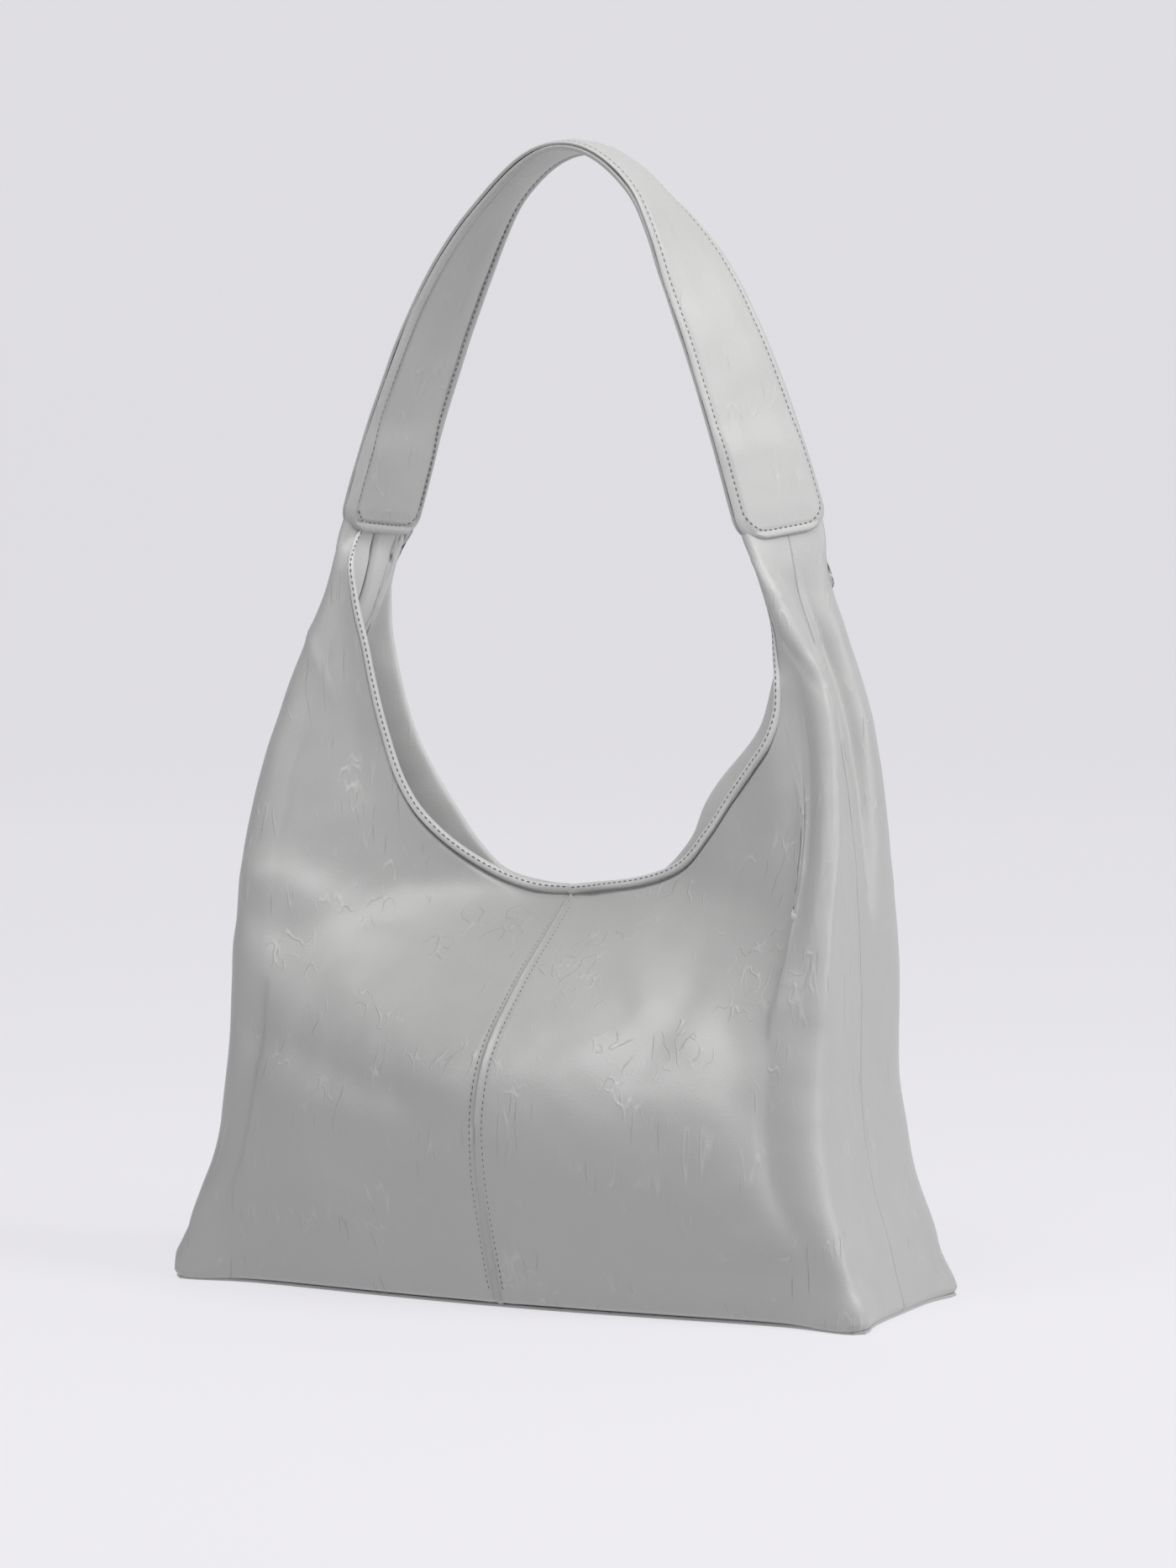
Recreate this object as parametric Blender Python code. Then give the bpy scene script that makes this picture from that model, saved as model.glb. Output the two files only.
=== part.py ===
"""Hobo bag: a soft shoulder bag of glazed leather panels, lined, with one wide strap.

Run with: blender --background --python part.py
Units are metres.  +Z is up, -Y is the front, and the origin is the middle of the base on the floor.

How it goes together
- Four leather panels (front and back, left and right) stand on a flat base panel and rise at both
  ends into two ears.  Leather facings line the mouth and the insides of the ears.
- A cloth lining hangs inside, with an open slip pocket at the front and a zipped pocket at the back.
- The strap is an outer band, a core and an underside band.  Each of its ends is sewn over one ear.
- The strap falls forwards or backwards about the ears.  The zip slider runs along the pocket zip, and
  its pull flips over.
"""

import functools
import math

import bmesh
import bpy
from mathutils import Matrix, Vector

MM = 0.001
LEFT, RIGHT = -1, 1
FRONT, BACK = -1, 1
SIDE_NAMES = {LEFT: "left", RIGHT: "right"}
FACE_NAMES = {FRONT: "front", BACK: "back"}

# ---- Driving dimensions --------------------------------------------------------------------------
LEATHER = 1.6 * MM  # one panel with its backing
FACING = 1.0 * MM
CLOTH = 0.7 * MM
BOARD = 2.0 * MM
GAP = 0.3 * MM  # between faces that touch
SEAM_SHARE = 0.002  # of a half girth, left free beside each upright seam
FACING_INSET = 5.6 * MM  # from the outside of the leather to the outside of the facing
LINING_INSET = 6.6 * MM  # and to the outside of the lining
LINING_DROP = 4.0 * MM  # the lining starts this far under the lower edge of the facing
LINING_FLOOR = 9.0 * MM  # height of the lower edge of the lining's sides

EAR_TOP = 352 * MM
STRAP_APEX = 546.5 * MM
STRAP_CURVE, STRAP_FLARE = 15.3, 30  # the strap's middle line is z = apex - curve x^2 - flare x^4
STRAP_END_X = 108.6 * MM  # half the distance between the strap's ends
STRAP_Y = 17 * MM  # the strap stands this far behind the middle of the base
STRAP_WIDTH_TOP = 40 * MM
STRAP_WIDTH_END = 53 * MM
STRAP_CORNER = 12 * MM
STRAP_BAND = 1.5 * MM
STRAP_CORE = 1.2 * MM
PIVOT_ABOVE_END = 25 * MM  # the ear folds this far inside the strap's end
EAR_END = 5.0 * MM  # thickness of the gathered leather inside the strap's end
EAR_END_LENGTH = 38 * MM
EAR_END_HALF_WIDTH = 20 * MM
EAR_END_MARGIN = 2 * MM
SWELL_PAST_EAR, SWELL_LENGTH = 22 * MM, 20 * MM  # where and how fast the bands open over the ear
STRAP_STRAIGHT_SHARE = 20 / 24  # of the stations along the strap, before its round end
CORE_SHARE = 16 / 24  # of the stations, covered by the core
CORE_MARGIN = 4 * MM

ZIP_LENGTH = 130 * MM
ZIP_HEIGHT = 92 * MM  # of the pocket zip above the floor
ZIP_TAPE = 10 * MM  # width of one tape
COIL = 1.8 * MM  # width of one half of the chain
COIL_DEEP = 2.2 * MM
SLOT_HEIGHT = 13 * MM
ZIP_TAPE_OVERHANG = 5 * MM  # past each end of the chain
ZIP_BEHIND_BACK = 5.2 * MM  # the chain's middle plane, in from the outside of the back panel
STOP_LENGTH = 2.2 * MM
STOP_HALF = 1.6 * MM
SLIDER_LENGTH = 11 * MM
SLIDER_FROM_END = 2 * MM
SLIDER_WIDTH = 7.6 * MM
SLIDER_WALL = 0.9 * MM
SLIDER_CLEARANCE = 0.4 * MM  # over the chain
BRIDGE_REACH, BRIDGE_HEIGHT = 3.6 * MM, 2.6 * MM  # the arch on the slider: half its length, and its height
BRIDGE_BAR, BRIDGE_WIDTH = 0.8 * MM, 1.4 * MM
BRIDGE_ROOT = 0.4 * MM  # of the arch, sunk into the slider
PULL_HALF_THICK = 0.45 * MM
PULL_HALF_WIDTH, PULL_TIP_HALF_WIDTH = 3.4 * MM, 3 * MM
PULL_LENGTH = 24 * MM
PULL_SHOULDER = 7 * MM  # distance from the cross bar to where the tab starts to narrow
PULL_RING = 1.2 * MM  # of metal round the hole
PULL_HOLE_LENGTH = 6 * MM
PULL_BAR_HALF = 0.5 * MM
PULL_BELOW_FACE = 1 * MM  # of the cross bar, out from the slider's face
PULL_REST = math.radians(12)  # the pull hangs this far off the lining

SLIP_HALF_WIDTH, SLIP_LOW, SLIP_HIGH = 62 * MM, 24 * MM, 112 * MM
SLIP_CLEARANCE = 2.5 * MM  # between the lining and the pocket
ZIP_BAG_HALF_WIDTH, ZIP_BAG_LOW = 72 * MM, 26 * MM
ZIP_BAG_BELOW_TAPE = 3 * MM
ZIP_BAG_CLEARANCE = 1.4 * MM  # behind the back panel

BOARD_MARGIN = 3 * MM  # of the board, inside the leather
SNAP_BELOW_MOUTH = 14 * MM
SNAP_RADIUS = 7 * MM
SNAP_BASE, SNAP_RIM = 1.6 * MM, 2.4 * MM  # heights of the stepped body
SNAP_BEVEL = 1.5 * MM
STUD_RADIUS, STUD_TIP = 3 * MM, 3.8 * MM
SOCKET_RADIUS, SOCKET_DEPTH = 3.4 * MM, 1 * MM
SNAP_OFF_FACING = 0.8 * MM
WASHER_RADIUS, WASHER = 6.5 * MM, 0.5 * MM
WASHER_OFF_LEATHER = 1.6 * MM
DISC_SEGMENTS = 24
EAR_SHARE = 0.14  # of a panel's top that is the level top of its ear

# ---- Shape of the leather: (height, value), both in millimetres ----------------------------------
HALF_LENGTH = {
    LEFT: [(0, 178), (33, 172), (60, 164), (82, 160), (107, 158), (147, 158), (187, 159), (212, 158),
           (237, 154.5), (262, 149), (287, 141.5), (312, 131.5), (332, 122.5), (352, 116)],
    RIGHT: [(0, 179), (33, 171.5), (60, 163.5), (82, 159.5), (107, 157.5), (147, 156.5), (187, 154),
            (212, 152), (237, 148.5), (262, 143.5), (287, 137), (312, 129), (332, 121), (352, 114)]}
HALF_DEPTH = [(0, 57), (35, 61), (69, 63), (107, 61), (147, 56), (187, 50), (237, 41), (287, 32), (332, 29),
              (352, 28)]
CORNER = [(0, 4), (26, 12), (69, 28), (187, 28), (287, 20), (332, 16), (352, 15)]
LEAN = {LEFT: [(0, 0), (87, 0), (147, 2), (187, 4), (237, 7), (287, 11), (332, 14), (352, 15)],
        RIGHT: [(0, 0), (87, 0), (147, 4), (187, 9), (237, 19), (287, 26), (332, 21), (352, 18)]}
SEAM_PLEAT = {
    LEFT: [(0, 0), (78, 5), (187, 3), (287, 4), (352, 1)],
    RIGHT: [(0, 0), (52, 1), (187, 4), (287, 9), (332, 6), (352, 2)]}
# Distance of a face from the middle plane: at the middle, a third of the way out and near the corner.
FACE_MIDDLE = {
    FRONT: [(0, -66), (35, -80), (69, -90), (99, -91), (125, -78), (155, -42), (177, -6), (190, 12)],
    BACK: [(0, 60), (35, 69), (69, 74), (107, 74), (147, 64), (190, 44)]}
FACE_INNER = {
    FRONT: [(0, -64), (35, -77), (69, -86), (99, -86), (125, -72), (155, -38), (190, 8)],
    BACK: FACE_MIDDLE[BACK]}
FACE_OUTER = {
    (LEFT, FRONT): [(0, -58), (35, -69), (69, -75), (102, -74), (137, -62), (190, -32), (237, -18),
                    (287, -12), (352, -8)],
    (RIGHT, FRONT): [(0, -58), (35, -70), (69, -78), (102, -74), (137, -50), (190, -14), (237, -6),
                     (287, -8), (352, -8)],
    (LEFT, BACK): [(0, 58), (35, 66), (69, 70), (107, 68), (147, 60), (190, 50), (237, 46), (287, 43),
                   (352, 44)]}
FACE_OUTER[RIGHT, BACK] = FACE_OUTER[LEFT, BACK]

# Mouth edge and lower edge of the facing: (share of the half girth from the side seam, height in mm).
MOUTH = {
    (LEFT, FRONT): [(0.255, 352), (0.29, 332), (0.353, 311), (0.396, 295), (0.49, 263), (0.557, 241),
                    (0.62, 225), (0.714, 209), (0.818, 197), (0.915, 191), (1, 190)],
    (RIGHT, FRONT): [(0.24, 352), (0.26, 327), (0.276, 307), (0.288, 293), (0.312, 279), (0.359, 265),
                     (0.432, 253), (0.516, 239), (0.605, 221), (0.693, 205), (0.807, 196), (0.93, 192),
                     (1, 190)],
    (LEFT, BACK): [(0.193, 352), (0.208, 333), (0.339, 293), (0.453, 259), (0.589, 227), (0.672, 208),
                   (0.745, 196), (0.85, 191), (1, 190)],
    (RIGHT, BACK): [(0.2, 352), (0.3, 330), (0.437, 297), (0.505, 273), (0.547, 263), (0.651, 244),
                    (0.703, 231), (0.745, 215), (0.839, 197), (0.943, 191), (1, 190)]}
FACING_EDGE = [(0, 289), (0.12, 267), (0.27, 239), (0.42, 216), (0.56, 195), (0.72, 177), (0.86, 168),
               (1, 165)]

# Share of the strap's turn reached at each height of the ear, and along half of the strap.
EAR_TURN = [(0, 0), (297, 0), (322, 0.2), (352, 0.5)]
STRAP_TURN = {LEFT: 17.0, RIGHT: 31.0}  # degrees about Z at each end of the strap
# From the middle to an end.
STRAP_TURN_SHARE = [(0, -0.1), (0.2, 0), (0.3, 0.45), (0.4, 0.85), (0.55, 1), (1, 1)]

SECTION_STEP = 2 * MM
SECTION_POINTS = 64
SPLINE_SAMPLES = 140

COLOURS = {
    "leather": (0.50, 0.51, 0.51), "leather_inside": (0.52, 0.53, 0.53), "lining_cloth": (0.62, 0.62, 0.61),
    "board": (0.32, 0.30, 0.27), "strap_filler": (0.70, 0.69, 0.66), "zip_tape": (0.45, 0.45, 0.45),
    "zip_coil": (0.55, 0.55, 0.56), "metal": (0.62, 0.62, 0.63)}
# Roughness and metallic.
FINISH = {
    "leather": (0.35, 0.0), "leather_inside": (0.4, 0.0), "lining_cloth": (0.85, 0.0), "board": (0.8, 0.0),
    "strap_filler": (0.9, 0.0), "zip_tape": (0.85, 0.0), "zip_coil": (0.4, 0.0), "metal": (0.25, 1.0)}


# ---- Curves --------------------------------------------------------------------------------------
def smooth(knots, at):
    """Value at `at` of the smooth curve through the (position, value) knots, level beyond its ends."""
    if at <= knots[0][0]:
        return knots[0][1]
    if at >= knots[-1][0]:
        return knots[-1][1]
    i = max(k for k in range(len(knots) - 1) if knots[k][0] <= at)

    def slope(k):
        a, b = knots[max(k - 1, 0)], knots[min(k + 1, len(knots) - 1)]
        return (b[1] - a[1]) / (b[0] - a[0])

    (x0, y0), (x1, y1) = knots[i], knots[i + 1]
    step = x1 - x0
    s = (at - x0) / step
    return ((1 + 2 * s) * (1 - s) ** 2 * y0 + s * (1 - s) ** 2 * step * slope(i)
            + s * s * (3 - 2 * s) * y1 - s * s * (1 - s) * step * slope(i + 1))


def smooth_mm(knots, height):
    """smooth() for a table in millimetres, asked and answered in metres."""
    return smooth(knots, height / MM) * MM


def b_spline(points, count):
    """`count` points along the clamped cubic B-spline of a control polygon."""
    spans = len(points) - 3
    knots = [0] * 4 + list(range(1, spans)) + [spans] * 4
    out = []
    for n in range(count):
        u = min(spans * n / (count - 1), spans - 1e-9)
        k = int(u) + 3
        d = [Vector(points[j + k - 3]) for j in range(4)]
        for r in range(1, 4):
            for j in range(3, r - 1, -1):
                low, high = knots[j + k - 3], knots[j + 1 + k - r]
                d[j] = d[j - 1].lerp(d[j], (u - low) / (high - low))
        out.append(d[3])
    return out


def evenly(points, count):
    """`count` + 1 points at even distances along a polyline."""
    reach = [0.0]
    for a, b in zip(points, points[1:]):
        reach.append(reach[-1] + (b - a).length)
    out, i = [], 0
    for n in range(count + 1):
        want = reach[-1] * n / count
        while i < len(points) - 2 and reach[i + 1] < want:
            i += 1
        share = (want - reach[i]) / max(reach[i + 1] - reach[i], 1e-12)
        out.append(points[i].lerp(points[i + 1], min(max(share, 0.0), 1.0)))
    return out


def along_path(path, share):
    """Point at a share of the length of the smooth path through (share of girth, height in mm) points."""
    reach = [0.0]
    for (a, b), (c, d) in zip(path, path[1:]):
        reach.append(reach[-1] + math.hypot((c - a) * 200, d - b))
    at = reach[-1] * share
    return (smooth(list(zip(reach, (p[0] for p in path))), at),
            smooth(list(zip(reach, (p[1] for p in path))), at) * MM)


# ---- The leather surface -------------------------------------------------------------------------
@functools.lru_cache(maxsize=None)
def section(side, face, step):
    """A quarter of the bag's outline at one height, from the side seam to the middle, in plan."""
    height = step * SECTION_STEP
    length, lean = smooth_mm(HALF_LENGTH[side], height), smooth_mm(LEAN[side], height)
    depth, corner = smooth_mm(HALF_DEPTH, height), smooth_mm(CORNER, height)
    pleat = smooth_mm(SEAM_PLEAT[side], height)
    middle, inner = smooth_mm(FACE_MIDDLE[face], height), smooth_mm(FACE_INNER[face], height)
    outer = smooth_mm(FACE_OUTER[side, face], height)
    edge = lean + face * depth
    control = [(length - pleat, lean), (length - 0.5 * pleat, lean + face * 0.35 * depth),
               (length, lean + face * (depth - corner)), (length, edge), (length - corner, edge),
               (0.86 * length, 0.6 * edge + 0.4 * outer), (0.70 * length, outer), (0.36 * length, inner),
               (0.14 * length, middle), (0, middle)]
    half = evenly(b_spline(control, SPLINE_SAMPLES), SECTION_POINTS)
    turn = math.radians(STRAP_TURN[side]) * smooth(EAR_TURN, height / MM)
    pivot = Vector((side * STRAP_END_X, STRAP_Y))
    return [pivot + Matrix.Rotation(-turn, 2) @ (Vector((side * p.x, p.y)) - pivot) for p in half]


def on_leather(side, face, share, height):
    """The outside of the leather at a share of the half girth from the side seam, at a height."""
    low = int(height / SECTION_STEP)
    column = min(int(share * SECTION_POINTS), SECTION_POINTS - 1)

    def at(step):
        points = section(side, face, step)
        return points[column].lerp(points[column + 1], share * SECTION_POINTS - column)

    flat = at(low).lerp(at(low + 1), height / SECTION_STEP - low)
    return Vector((flat.x, flat.y, height))


def outward(side, face, share, height):
    """Unit normal of the leather, pointing out of the bag."""
    ds, dz = 0.02, 3 * MM
    low, high = max(share - ds, 0), min(share + ds, 1)
    across = on_leather(side, face, high, height) - on_leather(side, face, low, height)
    up = on_leather(side, face, share, height + dz) - on_leather(side, face, share, max(height - dz, 0))
    return (across.cross(up) * side * face).normalized()


def leather(side, face, share, height, inset=0.0):
    """A point `inset` behind the outside of the leather.  The middle seam keeps x = 0."""
    point = on_leather(side, face, share, height)
    if inset:
        normal = outward(side, face, share, height)
        if share > 0.999:
            normal.x = 0
            normal.normalize()
        point = point - normal * inset
    return point


def ruled(side, face, across, up, top, bottom_height, inset):
    """Point of a panel: `across` runs from the side seam to the middle, `up` from the bottom to `top`."""
    share, height = top(across)
    share = min(max(share * up + across * (1 - up), SEAM_SHARE), 1 - SEAM_SHARE)
    return leather(side, face, share, bottom_height + (height - bottom_height) * up, inset)


def mouth_line(side, face):
    """Top of a panel: level along the ear, then down the mouth edge to the middle."""
    path = MOUTH[side, face]

    def top(across):
        if across <= EAR_SHARE:
            return path[0][0] * across / EAR_SHARE, EAR_TOP
        return along_path(path, (across - EAR_SHARE) / (1 - EAR_SHARE))

    return top


# ---- The strap -----------------------------------------------------------------------------------
def strap_slope(x):
    return -2 * STRAP_CURVE * x - 4 * STRAP_FLARE * x**3


@functools.lru_cache(maxsize=None)
def strap_reach():
    """(distance along the strap, x) pairs from its middle to its end."""
    steps = 200
    step = STRAP_END_X / steps
    pairs = [(0.0, 0.0)]
    for n in range(1, steps + 1):
        x = step * n
        pairs.append((pairs[-1][0] + step * math.hypot(1, strap_slope(x - step / 2)), x))
    return pairs


def strap_half():
    return strap_reach()[-1][0]


def strap_point(along, across, out):
    """A point of the strap: signed distance from its middle, across its width, and out of the loop."""
    side = RIGHT if along >= 0 else LEFT
    pairs = strap_reach()
    at = abs(along)
    i = min(sum(1 for p in pairs if p[0] <= at), len(pairs) - 1)
    (s0, x0), (s1, x1) = pairs[i - 1], pairs[i]
    x = side * (x0 + (x1 - x0) * (at - s0) / (s1 - s0))
    tangent = Vector((1, 0, strap_slope(x))).normalized()
    turn = math.radians(STRAP_TURN[side]) * smooth(STRAP_TURN_SHARE, at / strap_half())
    wide = Vector((math.sin(turn), math.cos(turn), 0))
    wide = (wide - tangent * wide.dot(tangent)).normalized()
    middle = Vector((x, STRAP_Y, STRAP_APEX - STRAP_CURVE * x**2 - STRAP_FLARE * x**4))
    return middle + wide * across + tangent.cross(wide) * out


def strap_half_width(along):
    """Half the strap's width, with its round end corners."""
    at = abs(along) / strap_half()
    half = (STRAP_WIDTH_TOP + (STRAP_WIDTH_END - STRAP_WIDTH_TOP) * at * at * (3 - 2 * at)) / 2
    left = strap_half() - abs(along)
    if left < STRAP_CORNER:
        half -= STRAP_CORNER - math.sqrt(max(STRAP_CORNER**2 - (STRAP_CORNER - left) ** 2, 0))
    return half


def strap_swell(along):
    """How far the bands stand off the strap's middle surface: more at the ends, over the ears."""
    from_end = strap_half() - abs(along)
    share = min(max((EAR_END_LENGTH + SWELL_PAST_EAR - from_end) / SWELL_LENGTH, 0), 1)
    thin, thick = STRAP_CORE / 2, EAR_END / 2
    return thin + (thick - thin) * share * share * (3 - 2 * share) + GAP


# ---- Making objects ------------------------------------------------------------------------------
def material(name):
    found = bpy.data.materials.get(name)
    if found:
        return found
    made = bpy.data.materials.new(name)
    made.use_nodes = True
    shader = made.node_tree.nodes["Principled BSDF"]
    shader.inputs["Base Color"].default_value = (*COLOURS[name], 1)
    shader.inputs["Roughness"].default_value, shader.inputs["Metallic"].default_value = FINISH[name]
    return made


def add(name, mesh_maker, finish):
    """Makes one named object from a function that fills a bmesh."""
    mesh = bpy.data.meshes.new(name)
    bm = bmesh.new()
    mesh_maker(bm)
    bm.to_mesh(mesh)
    bm.free()
    mesh.materials.append(material(finish))
    made = bpy.data.objects.new(name, mesh)
    bpy.context.scene.collection.objects.link(made)
    return made


def move_origin(made, point):
    """Moves an object's origin to a point and leaves its mesh where it is."""
    made.data.transform(Matrix.Translation(made.location - point))
    made.location = point


def hang(name, point, pieces):
    """An empty on a joint's axis, with the pieces that turn about it as its children."""
    pivot = bpy.data.objects.new(name, None)
    pivot.location = point
    bpy.context.scene.collection.objects.link(pivot)
    for piece in pieces:
        piece.parent = pivot
        piece.location = -point


def sheet(name, columns, rows, place, thickness, finish, flip=False, centred=False):
    """A sheet of leather or cloth: a grid laid over place(across, up), thickened behind its face."""
    def fill(bm):
        bmesh.ops.create_grid(bm, x_segments=columns, y_segments=rows, size=0.5)
        for vertex in bm.verts:
            vertex.co = place(min(max(vertex.co.x + 0.5, 0), 1), min(max(vertex.co.y + 0.5, 0), 1))
        if flip:
            bmesh.ops.reverse_faces(bm, faces=bm.faces)

    made = add(name, fill, finish)
    made.data.shade_smooth()
    made.data.set_sharp_from_angle(angle=math.radians(40))
    solid = made.modifiers.new("Thickness", "SOLIDIFY")
    solid.thickness = thickness
    solid.offset = 0 if centred else -1
    return made


def slab(name, outline, low, high, finish):
    """A flat board with an upright edge, from a closed outline of plan points."""
    def fill(bm):
        face = bm.faces.new([bm.verts.new((p.x, p.y, low)) for p in outline])
        bmesh.ops.extrude_face_region(bm, geom=[face])
        bm.verts.ensure_lookup_table()
        for vertex in bm.verts[len(outline):]:
            vertex.co.z = high
        bmesh.ops.recalc_face_normals(bm, faces=bm.faces)

    return add(name, fill, finish)


def block(name, low, high, finish):
    """A plain box between two corners."""
    def fill(bm):
        bmesh.ops.create_cube(bm, size=1)
        for vertex in bm.verts:
            vertex.co = [a + (b - a) * (c + 0.5) for a, b, c in zip(low, high, vertex.co)]

    return add(name, fill, finish)


def disc(name, profile, point, axis, finish):
    """A turned piece: (radius, height) pairs stacked along an axis from a point."""
    def fill(bm):
        place = Matrix.Translation(point) @ axis.to_track_quat("Z", "Y").to_matrix().to_4x4()
        rings = []
        for radius, height in profile:
            made = bmesh.ops.create_circle(bm, segments=DISC_SEGMENTS, radius=radius)
            bmesh.ops.translate(bm, verts=made["verts"], vec=(0, 0, height))
            rings.append(made["verts"])
        for low, high in zip(rings, rings[1:]):
            for n in range(DISC_SEGMENTS):
                bm.faces.new((low[n - 1], low[n], high[n], high[n - 1]))
        bm.faces.new(list(reversed(rings[0])))
        bm.faces.new(rings[-1])
        bmesh.ops.transform(bm, matrix=place, verts=bm.verts)
        bmesh.ops.recalc_face_normals(bm, faces=bm.faces)

    return add(name, fill, finish)


def girth_outline(height, inset, count):
    """A closed plan outline of the bag at one height."""
    outline = []
    for side, face in ((RIGHT, FRONT), (LEFT, FRONT), (LEFT, BACK), (RIGHT, BACK)):
        shares = [n / count for n in range(count)]
        if (side, face) in ((LEFT, FRONT), (RIGHT, BACK)):
            shares = [1 - share for share in shares]
        outline += [leather(side, face, share, height, inset) for share in shares]
    return outline


# ---- The pieces ----------------------------------------------------------------------------------
def make_panels():
    """The four leather panels: SIDE by FACE."""
    floor = LEATHER + 3 * GAP
    for side in (LEFT, RIGHT):
        for face in (FRONT, BACK):
            top = mouth_line(side, face)
            sheet(f"{FACE_NAMES[face]}_panel_{SIDE_NAMES[side]}", 16, 16,
                  lambda a, u, s=side, f=face, t=top: ruled(s, f, a, u, t, floor, 0),
                  LEATHER, "leather", flip=side * face < 0)


def make_base():
    slab("base_panel", girth_outline(0.5 * MM, 0, 14), 0, LEATHER, "leather")
    low = LEATHER + GAP
    slab("base_board", girth_outline(low, LEATHER + BOARD_MARGIN, 10), low, low + BOARD, "board")
    low += BOARD + GAP
    slab("lining_base", girth_outline(low, FACING_INSET + 4 * CLOTH, 10), low, low + CLOTH, "lining_cloth")


def both_sides(across, face, make):
    """Runs make(side, share from the side seam) for a sheet that spans the bag from left to right."""
    if across < 0.5:
        return make(LEFT, 2 * across)
    return make(RIGHT, 2 * (1 - across))


def make_facings():
    """Leather facings inside the mouth, each from ear to ear."""
    def point(face, across, up):
        def on_side(side, share):
            s1, z1 = mouth_line(side, face)(share)
            s0, z0 = along_path(FACING_EDGE, share)
            mixed = max(s0 + (s1 - s0) * up, SEAM_SHARE)
            return leather(side, face, mixed, z0 + (z1 - z0) * up, FACING_INSET)
        return both_sides(across, face, on_side)

    for face in (FRONT, BACK):
        sheet(f"{FACE_NAMES[face]}_facing", 28, 3, lambda a, u, f=face: point(f, a, u), FACING,
              "leather_inside", flip=face > 0)


def make_lining():
    def top(across):
        share, height = along_path(FACING_EDGE, across)
        return share, height - LINING_DROP

    def point(face, across, up):
        def on_side(side, share):
            return ruled(side, face, share, up, top, LINING_FLOOR, LINING_INSET)

        return both_sides(across, face, on_side)

    made = {}
    for face in (FRONT, BACK):
        made[face] = sheet(f"lining_{FACE_NAMES[face]}", 28, 8, lambda a, u, f=face: point(f, a, u), CLOTH,
                           "lining_cloth", flip=face > 0)
    slot = block("zip_slot_cutter", (-ZIP_LENGTH / 2 - 4 * MM, 40 * MM, ZIP_HEIGHT - SLOT_HEIGHT / 2),
                 (ZIP_LENGTH / 2 + 4 * MM, 90 * MM, ZIP_HEIGHT + SLOT_HEIGHT / 2), "lining_cloth")
    slot.hide_render = True
    slot.display_type = "WIRE"
    cut = made[BACK].modifiers.new("Slot", "BOOLEAN")
    cut.operation = "DIFFERENCE"
    cut.object = slot


def pocket_sheet(name, face, inset, half_width, low, high, thickness):
    """A flat pocket following one face of the bag, between two heights."""
    def point(across, up):
        height = low + (high - low) * up
        x = (across - 0.5) * 2 * half_width
        side = RIGHT if x >= 0 else LEFT
        share = 1.0
        while share > 0 and abs(on_leather(side, face, share, height).x) < abs(x):
            share -= 0.002
        return leather(side, face, share, height, inset)

    return sheet(name, 12, 8, point, thickness, "lining_cloth", flip=face > 0)


def make_pockets():
    pocket_sheet("slip_pocket", FRONT, LINING_INSET + CLOTH + SLIP_CLEARANCE, SLIP_HALF_WIDTH,
                 SLIP_LOW, SLIP_HIGH, CLOTH)
    pocket_sheet("zip_pocket_bag", BACK, LEATHER + ZIP_BAG_CLEARANCE, ZIP_BAG_HALF_WIDTH, ZIP_BAG_LOW,
                 ZIP_HEIGHT - ZIP_TAPE - ZIP_BAG_BELOW_TAPE, 2 * CLOTH)


def zip_plane():
    """Y of the middle of the zip chain: behind the lining, clear of the back panel."""
    return on_leather(RIGHT, BACK, 1, ZIP_HEIGHT).y - ZIP_BEHIND_BACK


def make_zip():
    """The pocket zip, closed: two tapes, two halves of the chain, stops, slider and pull."""
    y = zip_plane()
    half = ZIP_LENGTH / 2
    for name, up in (("upper", 1), ("lower", -1)):
        z = [ZIP_HEIGHT + up * edge for edge in (GAP / 2, GAP / 2 + COIL)]
        block(f"zip_chain_{name}", (-half, y - COIL_DEEP / 2, min(z)),
              (half, y + COIL_DEEP / 2, max(z)), "zip_coil")
        z = [ZIP_HEIGHT + up * edge for edge in (GAP * 1.5 + COIL, COIL + ZIP_TAPE)]
        reach = half + ZIP_TAPE_OVERHANG
        block(f"zip_tape_{name}", (-reach, y - CLOTH / 2, min(z)),
              (reach, y + CLOTH / 2, max(z)), "zip_tape")
    for name, side in (("open", LEFT), ("closed", RIGHT)):
        x = sorted((side * (half + GAP), side * (half + GAP + STOP_LENGTH)))
        block(f"zip_stop_{name}", (x[0], y - STOP_HALF, ZIP_HEIGHT - STOP_HALF),
              (x[1], y + STOP_HALF, ZIP_HEIGHT + STOP_HALF), "metal")
    make_slider(y)


def prism(bm, outline, axis, end):
    """A closed outline of points, extruded until its far side sits at `end` along an axis (0, 1 or 2)."""
    first = bm.faces.new([bm.verts.new(point) for point in outline])
    moved = bmesh.ops.extrude_face_region(bm, geom=[first])
    for item in moved["geom"]:
        if isinstance(item, bmesh.types.BMVert):
            item.co[axis] = end
    bmesh.ops.recalc_face_normals(bm, faces=bm.faces)


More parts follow.
